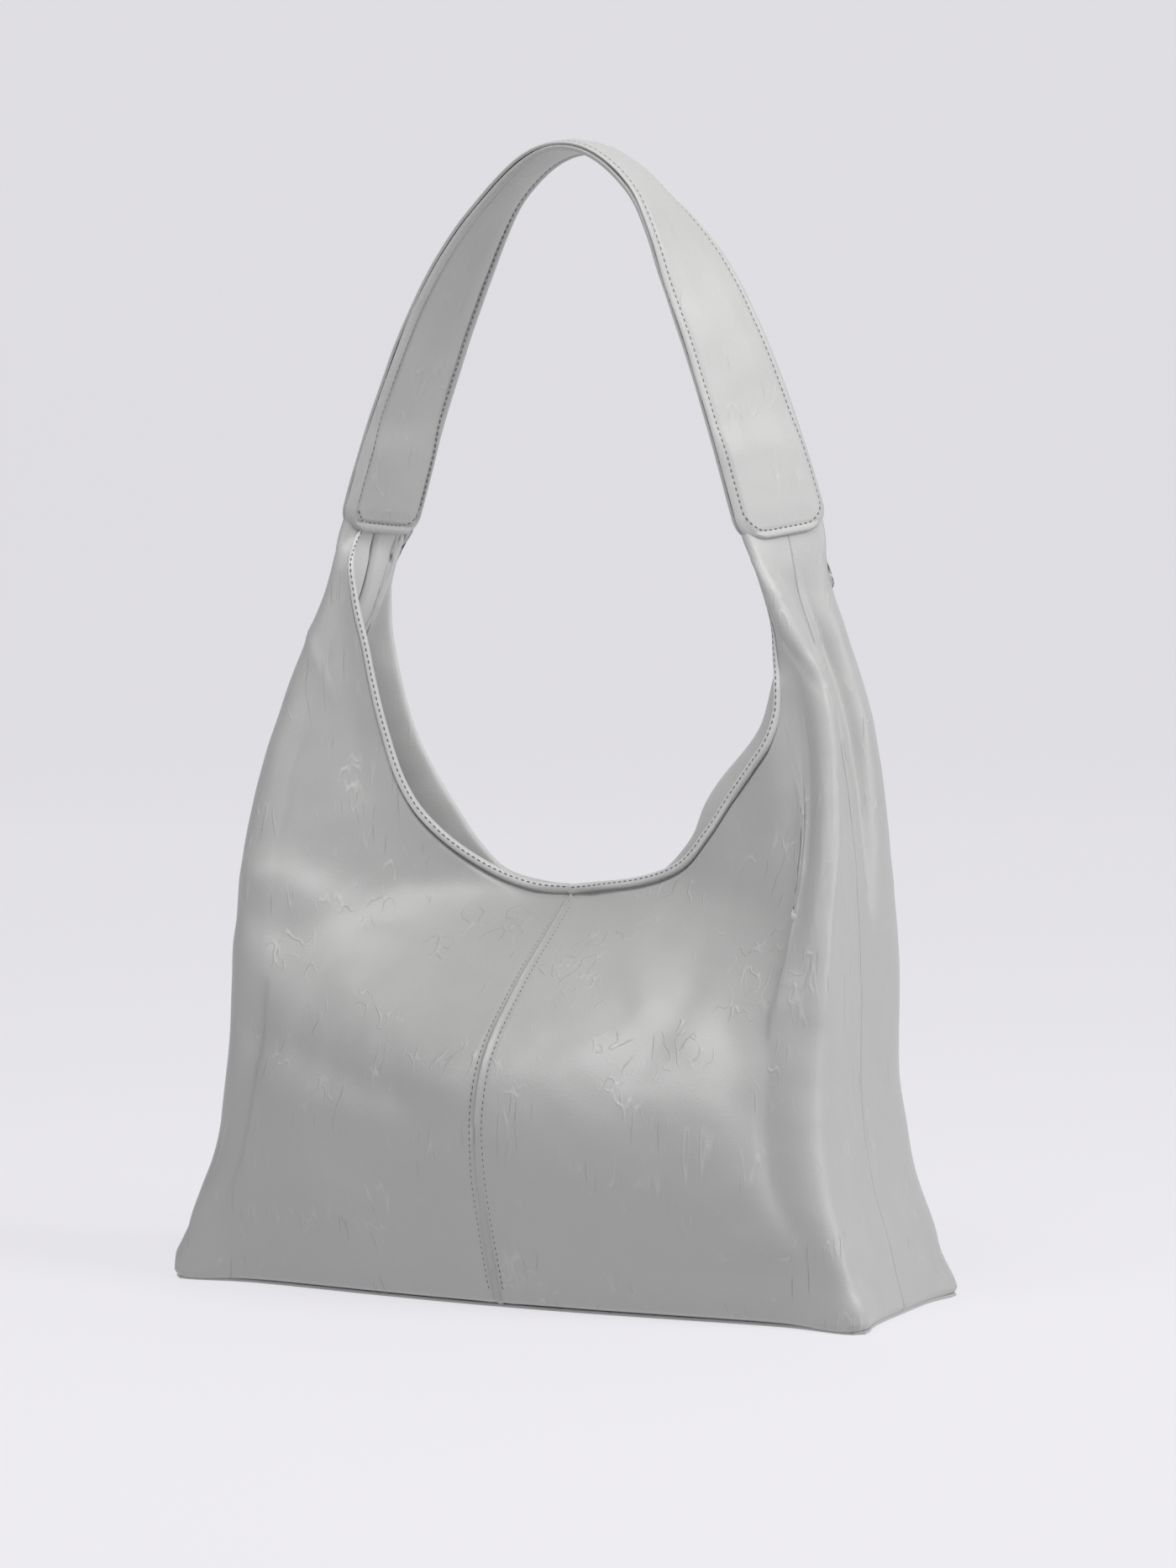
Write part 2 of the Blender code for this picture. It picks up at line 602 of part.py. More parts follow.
def make_slider(y):
    """A channel that straddles the front of the chain, with a bridge that holds the pull."""
    half, wall = SLIDER_WIDTH / 2, SLIDER_WALL
    right = ZIP_LENGTH / 2 - SLIDER_FROM_END
    left = right - SLIDER_LENGTH
    roof = y - COIL_DEEP / 2 - SLIDER_CLEARANCE
    skirt = y - CLOTH / 2 - GAP
    outline = [(-half, skirt), (-half, roof - wall), (half, roof - wall), (half, skirt),
               (half - wall, skirt), (half - wall, roof), (-half + wall, roof), (-half + wall, skirt)]
    outline = [(left, py, ZIP_HEIGHT + pz) for pz, py in outline]
    slider = add("zip_slider", lambda bm: prism(bm, outline, 0, right), "metal")
    middle = (left + right) / 2
    move_origin(slider, Vector((middle, y, ZIP_HEIGHT)))
    bridge = make_bridge(middle, roof - wall)
    bridge.hide_render = True
    bridge.display_type = "WIRE"
    join = slider.modifiers.new("Bridge", "BOOLEAN")
    join.operation = "UNION"
    join.object = bridge
    make_pull(middle, roof - wall)


def make_bridge(x, y):
    """The arch on the slider that the pull hangs from: it stands along X over the slider's face."""
    reach, high, bar, root = BRIDGE_REACH, BRIDGE_HEIGHT, BRIDGE_BAR, BRIDGE_ROOT
    outline = [(-reach, root), (-reach, -high), (reach, -high), (reach, root),
               (reach - bar, root), (reach - bar, bar - high), (bar - reach, bar - high),
               (bar - reach, root)]
    outline = [(x + px, y + py, ZIP_HEIGHT - BRIDGE_WIDTH / 2) for px, py in outline]
    return add("zip_bridge", lambda bm: prism(bm, outline, 2, ZIP_HEIGHT + BRIDGE_WIDTH / 2), "metal")


def make_pull(x, y):
    """A flat tab whose cross bar runs through the arch, along Z; it lies flat towards the open end."""
    axis = Vector((x, y - PULL_BELOW_FACE, ZIP_HEIGHT))
    arm, tip, bar = PULL_HALF_WIDTH, PULL_TIP_HALF_WIDTH, PULL_BAR_HALF
    outline = [(bar, -arm), (bar, arm), (-PULL_SHOULDER, arm), (-PULL_LENGTH, tip), (-PULL_LENGTH, -tip),
               (-PULL_SHOULDER, -arm)]
    inside = arm - PULL_RING
    hole = [(-bar, -inside), (-bar, inside), (-PULL_HOLE_LENGTH, inside), (-PULL_HOLE_LENGTH, -inside)]

    def tab(bm):
        low = axis.y - PULL_HALF_THICK
        rings = [[bm.verts.new((axis.x + px, low, axis.z + pz)) for px, pz in ring]
                 for ring in (outline, hole)]
        edges = [bm.edges.new((ring[n - 1], ring[n])) for ring in rings for n in range(len(ring))]
        bmesh.ops.triangle_fill(bm, edges=edges, use_beauty=True)
        moved = bmesh.ops.extrude_face_region(bm, geom=bm.faces[:])
        for item in moved["geom"]:
            if isinstance(item, bmesh.types.BMVert):
                item.co.y = axis.y + PULL_HALF_THICK
        bmesh.ops.recalc_face_normals(bm, faces=bm.faces)

    pull = add("zip_pull", tab, "metal")
    move_origin(pull, axis)
    pull.rotation_euler.z = PULL_REST


def make_snap():
    """Magnetic snap, open: a stud on the front facing, a socket on the back, a washer behind each."""
    for face, name in ((FRONT, "stud"), (BACK, "socket")):
        height = MOUTH[RIGHT, face][-1][1] * MM - SNAP_BELOW_MOUTH
        out = outward(RIGHT, face, 1, height)
        out.x = 0
        out.normalize()
        skin = on_leather(RIGHT, face, 1, height)
        inside = skin - out * (FACING_INSET + FACING + SNAP_OFF_FACING)
        profile = [(SNAP_RADIUS, 0), (SNAP_RADIUS, SNAP_BASE), (SNAP_RADIUS - SNAP_BEVEL, SNAP_RIM)]
        if name == "stud":
            profile += [(STUD_RADIUS, SNAP_RIM), (STUD_RADIUS, STUD_TIP)]
        else:
            profile += [(SOCKET_RADIUS, SNAP_RIM), (SOCKET_RADIUS, SOCKET_DEPTH)]
        disc(f"snap_{name}", profile, inside, -out, "metal")
        behind = skin - out * (LEATHER + WASHER_OFF_LEATHER)
        washer = [(WASHER_RADIUS, 0), (WASHER_RADIUS, WASHER)]
        disc(f"snap_washer_{FACE_NAMES[face]}", washer, behind, -out, "metal")


def station(share):
    """Signed distance along the strap for a share from -1 to 1, in closer steps at the round ends."""
    straight, straight_share = strap_half() - STRAP_CORNER, STRAP_STRAIGHT_SHARE
    at = abs(share)
    if at <= straight_share:
        along = straight * at / straight_share
    else:
        turn = (at - straight_share) / (1 - straight_share) * math.pi / 2
        along = straight + STRAP_CORNER * math.sin(turn)
    return math.copysign(along, share)


def strap_sheet(name, lift, thickness, finish, reach=1.0, margin=0.0, columns=60, rows=4):
    """One layer of the strap.  lift(along) places its middle; margin is left free at its edges."""
    def point(across, up):
        along = station((2 * across - 1) * reach)
        width = max(strap_half_width(along) - margin, 3 * MM)
        return strap_point(along, (2 * up - 1) * width, lift(along))

    return sheet(name, columns, rows, point, thickness, finish, centred=True)


def make_strap():
    half_band = STRAP_BAND / 2
    pieces = [
        strap_sheet("strap_outer", lambda along: strap_swell(along) + half_band, STRAP_BAND, "leather"),
        strap_sheet("strap_underside", lambda along: -strap_swell(along) - half_band, STRAP_BAND,
                    "leather_inside"),
        # The core stops short of the ears, on the same stations as the bands.
        strap_sheet("strap_core", lambda along: 0, STRAP_CORE, "strap_filler", reach=CORE_SHARE,
                    margin=CORE_MARGIN, columns=40, rows=4),
        make_ear_end(LEFT),
        make_ear_end(RIGHT),
    ]
    end = strap_point(strap_half(), 0, 0).z
    hang("strap_pivot", Vector((0, STRAP_Y, end + PIVOT_ABOVE_END)), pieces)


def make_ear_end(side):
    """The top of the gathered leather of one ear, sewn inside the strap's end."""
    def point(across, up):
        along = side * (strap_half() - 1 * MM - EAR_END_LENGTH * (1 - up))
        width = min(EAR_END_HALF_WIDTH, strap_half_width(along) - EAR_END_MARGIN)
        return strap_point(along, (2 * across - 1) * width, 0)

    return sheet(f"{SIDE_NAMES[side]}_ear_end", 4, 8, point, EAR_END, "leather_inside", centred=True,
                 flip=side < 0)


def main():
    for old in list(bpy.data.objects):
        bpy.data.objects.remove(old)
    make_panels()
    make_base()
    make_facings()
    make_lining()
    make_pockets()
    make_zip()
    make_snap()
    make_strap()


main()
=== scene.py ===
import functools
import math

import bmesh
import bpy
import numpy as np
from mathutils import Matrix, Vector, noise


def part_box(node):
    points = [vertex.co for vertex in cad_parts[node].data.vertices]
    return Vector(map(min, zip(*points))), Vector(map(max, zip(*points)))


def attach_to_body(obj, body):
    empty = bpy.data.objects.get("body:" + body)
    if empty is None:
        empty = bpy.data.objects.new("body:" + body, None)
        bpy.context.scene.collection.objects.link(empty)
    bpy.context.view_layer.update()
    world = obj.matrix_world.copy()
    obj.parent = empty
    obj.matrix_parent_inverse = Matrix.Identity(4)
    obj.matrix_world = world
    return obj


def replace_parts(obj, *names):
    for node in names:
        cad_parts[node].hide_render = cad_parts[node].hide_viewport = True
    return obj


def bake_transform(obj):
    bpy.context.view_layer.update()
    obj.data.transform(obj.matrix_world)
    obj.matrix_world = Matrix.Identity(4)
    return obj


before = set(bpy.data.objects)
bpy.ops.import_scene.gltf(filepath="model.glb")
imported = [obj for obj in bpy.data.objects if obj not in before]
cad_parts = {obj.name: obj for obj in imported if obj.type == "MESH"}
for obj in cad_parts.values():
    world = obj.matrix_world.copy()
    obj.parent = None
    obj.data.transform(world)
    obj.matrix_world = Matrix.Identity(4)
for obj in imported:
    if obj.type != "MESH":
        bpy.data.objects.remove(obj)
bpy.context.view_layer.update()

mm = 0.001
left, right, front, back = -1, 1, -1, 1
sideName = {left: "Left", right: "Right"}
faceName = {front: "front", back: "back"}
detail = 1.0

# the leather shell, (height, value) in millimetres
backMiddle = [(0, 60), (35, 69), (69, 74), (107, 74), (147, 64), (190, 44)]
backOuter = [(0, 58), (35, 66), (69, 70), (107, 68), (147, 60), (190, 50), (237, 46), (287, 43), (352, 44)]
shell = {
    "halfLength": {
        left: [(0, 178), (33, 172), (60, 164), (82, 160), (107, 158), (147, 158), (187, 159),
               (212, 158), (237, 154.5), (262, 149), (287, 141.5), (312, 131.5), (332, 122.5), (352, 116)],
        right: [(0, 179), (33, 171.5), (60, 163.5), (82, 159.5), (107, 157.5), (147, 156.5), (187, 154),
                (212, 152), (237, 148.5), (262, 143.5), (287, 137), (312, 129), (332, 121), (352, 114)]},
    "halfDepth": [(0, 57), (35, 61), (69, 63), (107, 61), (147, 56), (187, 50), (237, 41), (287, 32),
                  (332, 29), (352, 28)],
    "corner": [(0, 4), (26, 12), (69, 28), (187, 28), (287, 20), (332, 16), (352, 15)],
    "lean": {
        left: [(0, 0), (87, 0), (147, 2), (187, 4), (237, 7), (287, 11), (332, 14), (352, 15)],
        right: [(0, 0), (87, 0), (147, 4), (187, 9), (237, 19), (287, 26), (332, 21), (352, 18)]},
    "seamPleat": {
        left: [(0, 0), (78, 5), (187, 3), (287, 4), (352, 1)],
        right: [(0, 0), (52, 1), (187, 4), (287, 9), (332, 6), (352, 2)]},
    "middle": {
        front: [(0, -66), (35, -80), (69, -90), (99, -91), (125, -78), (155, -42), (177, -6), (190, 12)],
        back: backMiddle},
    "inner": {
        front: [(0, -64), (35, -77), (69, -86), (99, -86), (125, -72), (155, -38), (190, 8)],
        back: backMiddle},
    "outer": {
        (left, front): [(0, -58), (35, -69), (69, -75), (102, -74), (137, -62), (190, -32), (237, -18),
                        (287, -12), (352, -8)],
        (right, front): [(0, -58), (35, -70), (69, -78), (102, -74), (137, -50), (190, -14), (237, -6),
                         (287, -8), (352, -8)],
        (left, back): backOuter, (right, back): backOuter},
    "earTurn": [(0, 0), (297, 0), (322, 0.2), (352, 0.5)],  # share of the strap's turn
    "thickness": 1.6 * mm,
    "step": 2, "top": 400, "samples": 64,  # of the tables of sections, in millimetres and steps of share
    # about the mouth's low point the leather rounds over, except next to the middle seam
    "roundPasses": 40, "roundFrom": (150, 170), "roundTo": (205, 225), "roundShare": (0.85, 0.97),
}

# how an ear folds flat inside the strap: a straight run, a turned edge and what is left runs back
earFold = {
    "heights": {left: (344, 367), right: (335, 366)},
    "girth": {front: 143 * mm, back: 163 * mm}, "straight": 21.4 * mm, "radius": 2.4 * mm,
    "stretch": 1.04,  # length along the strap for a height
    "layer": 0.36,  # how far the inner layers close up in the turn
    # the front edge of the right ear rolls in below the strap, so that its lip is out of sight
    "rollHeights": (290, 322), "rollWidth": 13 * mm, "rollDepth": 9 * mm,
}

# edge of the mouth, (share of the half girth from the side seam, height)
mouth = {
    (left, front): [(0.25, 394), (0.255, 352), (0.29, 332), (0.353, 311), (0.396, 295), (0.49, 263),
                    (0.557, 241), (0.62, 225), (0.714, 209), (0.818, 197), (0.915, 191), (1, 190)],
    (right, front): [(0.235, 394), (0.24, 352), (0.26, 327), (0.276, 307), (0.288, 293), (0.312, 279),
                     (0.359, 265), (0.432, 253), (0.516, 239), (0.605, 221), (0.693, 205), (0.807, 196),
                     (0.93, 192), (1, 190)],
    (left, back): [(0.19, 394), (0.193, 352), (0.208, 333), (0.339, 293), (0.453, 259), (0.589, 227),
                   (0.672, 208), (0.745, 196), (0.85, 191), (1, 190)],
    (right, back): [(0.195, 394), (0.2, 352), (0.3, 330), (0.437, 297), (0.505, 273), (0.547, 263),
                    (0.651, 244), (0.703, 231), (0.745, 215), (0.839, 197), (0.943, 191), (1, 190)],
}

strap = {
    "apex": 546.5 * mm, "curve": 15.3, "flare": 30,  # z = apex - curve x^2 - flare x^4
    "endX": 108.6 * mm, "y": 17 * mm,
    "widthTop": 40 * mm, "widthEnd": 53 * mm, "corner": 12 * mm,
    "turn": {left: 17, right: 31},
    "turnShare": [(0, -0.1), (0.2, 0), (0.3, 0.45), (0.4, 0.85), (0.55, 1), (1, 1)],
    "swellTop": 0.9 * mm, "swellEnd": 2.8 * mm,  # half the space between the bands
    "band": 1.5 * mm,
    "columns": 300, "rows": 44,
}


# ---- curves
def smooth(knots, at):  # smooth curve through (position, value) knots, level beyond its ends
    x, y = np.array(knots, float).T
    low, high = np.maximum(np.arange(len(x)) - 1, 0), np.minimum(np.arange(len(x)) + 1, len(x) - 1)
    slope = (y[high] - y[low]) / (x[high] - x[low])
    at = np.clip(at, x[0], x[-1])
    i = np.clip(np.searchsorted(x, at, side="right") - 1, 0, len(x) - 2)
    step = x[i + 1] - x[i]
    s = (at - x[i]) / step
    return ((1 + 2 * s) * (1 - s) ** 2 * y[i] + s * (1 - s) ** 2 * step * slope[i]
            + s * s * (3 - 2 * s) * y[i + 1] - s * s * (1 - s) * step * slope[i + 1])


def ease(low, high, at):
    t = np.clip((at - low) / (high - low), 0, 1)
    return t * t * (3 - 2 * t)


def bell(at):
    return np.exp(-np.square(at))


@functools.cache
def splineWeights(points, samples):  # clamped cubic spline as a matrix on its control points
    spans = points - 3
    knots = np.array([0] * 4 + list(range(1, spans)) + [spans] * 4, float)
    u = np.minimum(np.linspace(0, spans, samples), spans - 1e-9)[:, None]
    weight = ((knots[:-1] <= u) & (u < knots[1:])).astype(float)
    for degree in (1, 2, 3):
        n = weight.shape[1] - 1
        rise = knots[degree:degree + n] - knots[:n]
        fall = knots[degree + 1:degree + 1 + n] - knots[1:n + 1]
        up = np.where(rise > 0, (u - knots[:n]) / np.where(rise > 0, rise, 1), 0)
        down = np.where(fall > 0, (knots[degree + 1:degree + 1 + n] - u) / np.where(fall > 0, fall, 1), 0)
        weight = up * weight[:, :-1] + down * weight[:, 1:]
    return weight


def alongPath(path, share):  # a point at a share of the length of a (share of girth, height) path
    girth = 200
    x, z = np.array(path, float).T
    reach = np.concatenate([[0], np.cumsum(np.hypot(np.diff(x) * girth, np.diff(z)))])
    at = reach[-1] * share
    return smooth(np.column_stack([reach, x]), at), smooth(np.column_stack([reach, z]), at) * mm


# ---- the strap's middle surface
def strapSlope(x):
    return -2 * strap["curve"] * x - 4 * strap["flare"] * x**3


@functools.cache
def strapReach():
    x = np.linspace(0, strap["endX"], 401)
    step = x[1]
    return np.concatenate([[0], np.cumsum(step * np.hypot(1, strapSlope(x[1:] - step / 2)))]), x


def strapHalf():
    return strapReach()[0][-1]


def strapPoint(along, across, out):  # signed distances from its middle, across it and out of the loop
    side = np.where(along >= 0, right, left)
    reach, xs = strapReach()
    end = reach[-1]
    beyond = np.maximum(np.abs(along) - end, 0)
    x = side * np.interp(np.abs(along), reach, xs)
    slope = strapSlope(x)
    tangent = np.column_stack([np.ones_like(x), np.zeros_like(x), slope]) / np.hypot(1, slope)[:, None]
    turn = np.radians(np.where(side > 0, strap["turn"][right], strap["turn"][left]))
    turn = turn * smooth(strap["turnShare"], np.abs(along) / end)
    wide = np.column_stack([np.sin(turn), np.cos(turn), np.zeros_like(turn)])
    wide = wide - tangent * (wide * tangent).sum(1)[:, None]
    wide /= np.linalg.norm(wide, axis=1)[:, None]
    middle = np.column_stack([x, np.full_like(x, strap["y"]),
                              strap["apex"] - strap["curve"] * x**2 - strap["flare"] * x**4])
    middle = middle + tangent * (side * beyond)[:, None]
    return middle + wide * np.reshape(across, (-1, 1)) + np.cross(tangent, wide) * np.reshape(out, (-1, 1))


def strapHalfWidth(along):
    at = np.minimum(np.abs(along) / strapHalf(), 1)
    half = (strap["widthTop"] + (strap["widthEnd"] - strap["widthTop"]) * at * at * (3 - 2 * at)) / 2
    gap = np.clip(strap["corner"] - (strapHalf() - np.abs(along)), 0, strap["corner"])
    return half - strap["corner"] + np.sqrt(strap["corner"] ** 2 - gap**2)


def strapSwell(along):  # half the space between the bands: more at the ends, over the ears
    fromEnd = strapHalf() - np.abs(along)
    return strap["swellTop"] + (strap["swellEnd"] - strap["swellTop"]) * ease(60 * mm, 40 * mm, fromEnd)


# ---- the leather surface
@functools.cache
def sections(side, face):  # quarter outlines every 2 mm of height, from the side seam to the middle
    rows = []
    for height in range(0, shell["top"] + 1, shell["step"]):
        def at(knots):
            return float(smooth(knots, height))

        length, lean, pleat = (at(shell[k][side]) for k in ("halfLength", "lean", "seamPleat"))
        depth, corner = at(shell["halfDepth"]), at(shell["corner"])
        middle, inner = at(shell["middle"][face]), at(shell["inner"][face])
        outer = at(shell["outer"][side, face])
        edge = lean + face * depth
        control = np.array([(length - pleat, lean), (length - 0.5 * pleat, lean + face * 0.35 * depth),
                            (length, lean + face * (depth - corner)), (length, edge), (length - corner, edge),
                            (0.86 * length, 0.6 * edge + 0.4 * outer), (0.70 * length, outer),
                            (0.36 * length, inner), (0.14 * length, middle), (0, middle)])
        curve = splineWeights(len(control), 140) @ control
        reach = np.concatenate([[0], np.cumsum(np.hypot(*np.diff(curve, axis=0).T))])
        even = np.linspace(0, reach[-1], shell["samples"] + 1)
        half = np.column_stack([side * np.interp(even, reach, curve[:, 0]),
                                np.interp(even, reach, curve[:, 1])])
        turn = math.radians(strap["turn"][side]) * at(shell["earTurn"])
        pivot = np.array([side * strap["endX"], strap["y"]]) / mm
        c, s = math.cos(turn), math.sin(turn)
        rows.append(pivot + (half - pivot) @ np.array([[c, -s], [s, c]]))
    table = np.array(rows) * mm
    rounded = table.copy()
    for _ in range(shell["roundPasses"]):
        rounded[1:-1] = (rounded[:-2] + 2 * rounded[1:-1] + rounded[2:]) / 4
    across, up = np.linspace(0, 1, table.shape[1]), np.arange(len(table)) * float(shell["step"])
    inner, outer = shell["roundShare"]
    amount = ease(*shell["roundFrom"], up) * ease(*reversed(shell["roundTo"]), up)
    amount = ease(outer, inner, across) * amount[:, None]
    return table + (rounded - table) * amount[:, :, None]


def onLeather(side, face, share, height):
    table = sections(side, face)
    share, height = np.broadcast_arrays(np.atleast_1d(share).astype(float),
                                        np.atleast_1d(height).astype(float))
    row = np.clip(height / (shell["step"] * mm), 0, len(table) - 1.001)
    column = np.clip(share * shell["samples"], 0, shell["samples"] - 0.0001)
    i, j = row.astype(int), column.astype(int)
    a, b = (row - i)[:, None], (column - j)[:, None]
    flat = ((table[i, j] * (1 - b) + table[i, j + 1] * b) * (1 - a)
            + (table[i + 1, j] * (1 - b) + table[i + 1, j + 1] * b) * a)
    return np.column_stack([flat, height])


def outward(side, face, share, height):
    ds, dz = 0.02, 3 * mm
    low, high = np.maximum(share - ds, 0), np.minimum(share + ds, 1)
    across = onLeather(side, face, high, height) - onLeather(side, face, low, height)
    up = onLeather(side, face, share, height + dz)
    up = up - onLeather(side, face, share, np.maximum(height - dz, 0))
    normal = np.cross(across, up) * side * face
    normal[np.broadcast_to(share, len(normal)) > 0.999, 0] = 0
    return normal / np.linalg.norm(normal, axis=1)[:, None]


# ---- folds and dents: (height or depth, width, 1 for sharp, line of (share of the half girth, height)),
# in millimetres
folds = {
    (right, front): [
        (-7.5, 12, 0, [(0.262, 292), (0.275, 265), (0.287, 235), (0.3, 205), (0.318, 180), (0.35, 162)]),
        (-2.5, 5, 0, [(0.235, 300), (0.238, 275), (0.247, 242), (0.258, 212), (0.272, 190)]),
        (5.0, 7, 0, [(0.16, 300), (0.17, 276), (0.185, 245), (0.2, 205), (0.225, 175), (0.25, 145)]),
        (-2.4, 4, 1, [(0.245, 322), (0.225, 311), (0.2, 302), (0.182, 290)]),
        (-2.5, 12, 0, [(0.6, 160), (0.6, 140), (0.64, 122), (0.7, 105)]),
        (2.2, 9, 0, [(0.78, 172), (0.68, 150), (0.52, 128)]),
        (-2.0, 12, 0, [(0.45, 130), (0.4, 100), (0.36, 70)]),
        (2.6, 5, 1, [(0.255, 2), (0.235, 12), (0.21, 24)]),
        (-1.5, 8, 0, [(0.34, 30), (0.5, 24), (0.7, 30)]),
    ],
    (left, front): [
        (-3.5, 10, 0, [(0.32, 300), (0.4, 268), (0.46, 240)]),
        (2.2, 9, 0, [(0.2, 197), (0.32, 194), (0.47, 184)]),
        (-2.0, 10, 0, [(0.24, 178), (0.35, 172), (0.5, 160)]),
        (-2.6, 7, 0, [(0.235, 352), (0.27, 325), (0.33, 298)]),
        (1.6, 4, 1, [(0.14, 318), (0.22, 304), (0.33, 280)]),
        (-3.2, 13, 0, [(0.3, 128), (0.55, 112), (0.78, 100), (0.97, 88)]),
        (2.0, 12, 0, [(0.45, 160), (0.62, 140), (0.8, 128)]),
        (-2.2, 5, 1, [(0.29, 84), (0.275, 68), (0.28, 48)]),
        (2.0, 9, 0, [(0.5, 70), (0.66, 52), (0.8, 42)]),
        (2.2, 5, 1, [(0.25, 2), (0.24, 14), (0.23, 26)]),
    ],
    (left, back): [
        (-3.0, 12, 0, [(0.35, 220), (0.42, 170), (0.5, 120)]),
        (2.5, 10, 0, [(0.55, 170), (0.62, 120), (0.66, 80)]),
        (-2.0, 10, 0, [(0.2, 120), (0.35, 95), (0.5, 85)]),
    ],
    (right, back): [
        (-2.2, 5, 0, [(0.01, 348), (0.03, 315), (0.045, 270), (0.05, 230), (0.05, 180)]),
        (-3.0, 10, 0, [(0.3, 250), (0.36, 205), (0.42, 150)]),
        (2.5, 10, 0, [(0.45, 210), (0.55, 150), (0.6, 100)]),
        (-2.0, 12, 0, [(0.25, 110), (0.4, 85), (0.6, 75)]),
    ],
}
surface = {
    "girth": 205,  # millimetres of a half girth, for distances along the leather
    "swell": 1.5 * mm, "swellSize": 62 * mm,  # broad unevenness
    "pucker": 0.5 * mm, "puckerSize": 17 * mm,  # small unevenness
    "cornerFlare": 6 * mm, "cornerHeight": 26 * mm, "cornerShare": 0.262,  # pinched base corners
    "cornerWidth": 17,
    "calm": (0.93, 0.05),  # shares past which the middle and side seams hold the leather still
    "foldCalm": 0.25, "swellCalm": 0.4,  # what is left there
    "baseHeight": 12 * mm, "earHeights": (300 * mm, 345 * mm), "earCalm": 0.6,
    "stitchFromSeam": 3.2 * mm,
    # height, distance from the seam and width of each ridge or valley, in millimetres
    "middleSeam": [(0.7, 0, 0.7), (-0.8, 1.5, 0.6), (-0.35, 3.2, 0.7), (0.5, 0, 7)],
    "sideSeam": (-0.5, 1.1), "sideSeamHeights": (60 * mm, 20 * mm),
    "seamTop": (352 * mm, 330 * mm),
    "baseTurn": 3.5 * mm,  # the leather turns in under the bag at the bottom
}


def foldRelief(lines, share, height):
    girth = surface["girth"]
    x, z = share * girth, height / mm
    total = np.zeros_like(x)
    for amount, width, sharp, path in lines:
        fine = np.linspace(0, len(path) - 1, 4 * len(path))
        px = smooth([(n, p[0] * girth) for n, p in enumerate(path)], fine)
        pz = smooth([(n, p[1]) for n, p in enumerate(path)], fine)
        nearest = np.full_like(x, 1e9)
        along = np.zeros_like(x)
        for n in range(len(fine) - 1):
            dx, dz = px[n + 1] - px[n], pz[n + 1] - pz[n]
            t = np.clip(((x - px[n]) * dx + (z - pz[n]) * dz) / (dx * dx + dz * dz), 0, 1)
            away = np.hypot(x - px[n] - t * dx, z - pz[n] - t * dz)
            closer = away < nearest
            nearest = np.where(closer, away, nearest)
            along = np.where(closer, (n + t) / (len(fine) - 1), along)
        taper = np.sin(np.pi * np.clip(0.08 + 0.84 * along, 0, 1)) ** 0.7
        shape = np.exp(-nearest / width) if sharp else bell(nearest / width)
        total += amount * shape * taper
    return total * mm


def unevenness(points, size, seed):
    offset = Vector((seed * 7.3, seed * 3.1, seed * 5.7))
    return np.array([noise.noise(Vector(p) / size + offset) for p in points.tolist()])


def relief(side, face, share, height):  # how far the leather stands proud of its smooth shape
    s = surface
    points = onLeather(side, face, share, height)
    share, height = np.broadcast_to(share, len(points)), points[:, 2]
    calm = ease(1.0, s["calm"][0], share) * ease(0, s["calm"][1], share)
    out = foldRelief(folds[side, face], share, height)
    out = out * (s["foldCalm"] + (1 - s["foldCalm"]) * calm) * ease(0, 0.03, share)
    swell = s["swell"] * unevenness(points, s["swellSize"], 1)
    out = out + swell * (s["swellCalm"] + (1 - s["swellCalm"]) * calm)
    out = out + s["pucker"] * unevenness(points, s["puckerSize"], 2)
    out = out * ease(0, s["baseHeight"], height) * (1 - s["earCalm"] * ease(*s["earHeights"], height))
    corner = bell((share - s["cornerShare"]) * s["girth"] / s["cornerWidth"])
    return out + s["cornerFlare"] * corner * ease(s["cornerHeight"], 0, height)


def seamRelief(share, height):
    s = surface
    away = share * s["girth"]
    depth, width = s["sideSeam"]
    out = depth * bell(away / width) * (0.2 + 0.8 * ease(*s["sideSeamHeights"], height))
    away = (1 - share) * s["girth"]
    for amount, start, width in s["middleSeam"]:
        out = out + amount * bell((away - start) / width)
    return out * mm * ease(*s["seamTop"], height)


def skin(side, face, share, height, inset=0.0, seams=False):  # a point `inset` behind the leather's face
    height = np.atleast_1d(height).astype(float)
    share = np.broadcast_to(np.atleast_1d(share).astype(float), height.shape)
    inset = np.broadcast_to(inset, height.shape)
    proud = relief(side, face, share, height)
    if (side, face) == (right, front):
        low, high = earFold["rollHeights"]
        edge = smooth([(z, s) for s, z in reversed(mouth[side, face][1:])], height / mm)
        near = np.clip(1 - (edge - share) * surface["girth"] * mm / earFold["rollWidth"], 0, 1.2)
        proud = proud - earFold["rollDepth"] * near**2 * ease(low * mm, high * mm, height)
    if seams:
        proud = proud + seamRelief(share, height)
    point = onLeather(side, face, share, height)
    point = point + outward(side, face, share, height) * (proud - inset)[:, None]
    # the ears fold flat between the strap's bands, each edge turned back on itself
    f = earFold
    low, high = f["heights"][side]
    gather = ease(low * mm, high * mm, height)[:, None]
    endZ = strapPoint(np.array([strapHalf()]), [0], [0])[0, 2]
    along = side * (strapHalf() - (height - endZ) * f["stretch"])
    path, radius = share * f["girth"][face], f["radius"]
    turn = np.clip((path - f["straight"]) / radius, 0, math.pi)
    beyond = np.maximum(path - f["straight"] - math.pi * radius, 0)
    arm = radius - np.where(inset > 0, inset * f["layer"], inset)
    across = face * (np.minimum(path, f["straight"]) + arm * np.sin(turn) - beyond)
    bundle = strapPoint(along, across, arm * np.cos(turn))
    point = point * (1 - gather) + bundle * gather
    point[:, 2] = np.maximum(point[:, 2], 0.1 * mm)  # never under the floor
    return point


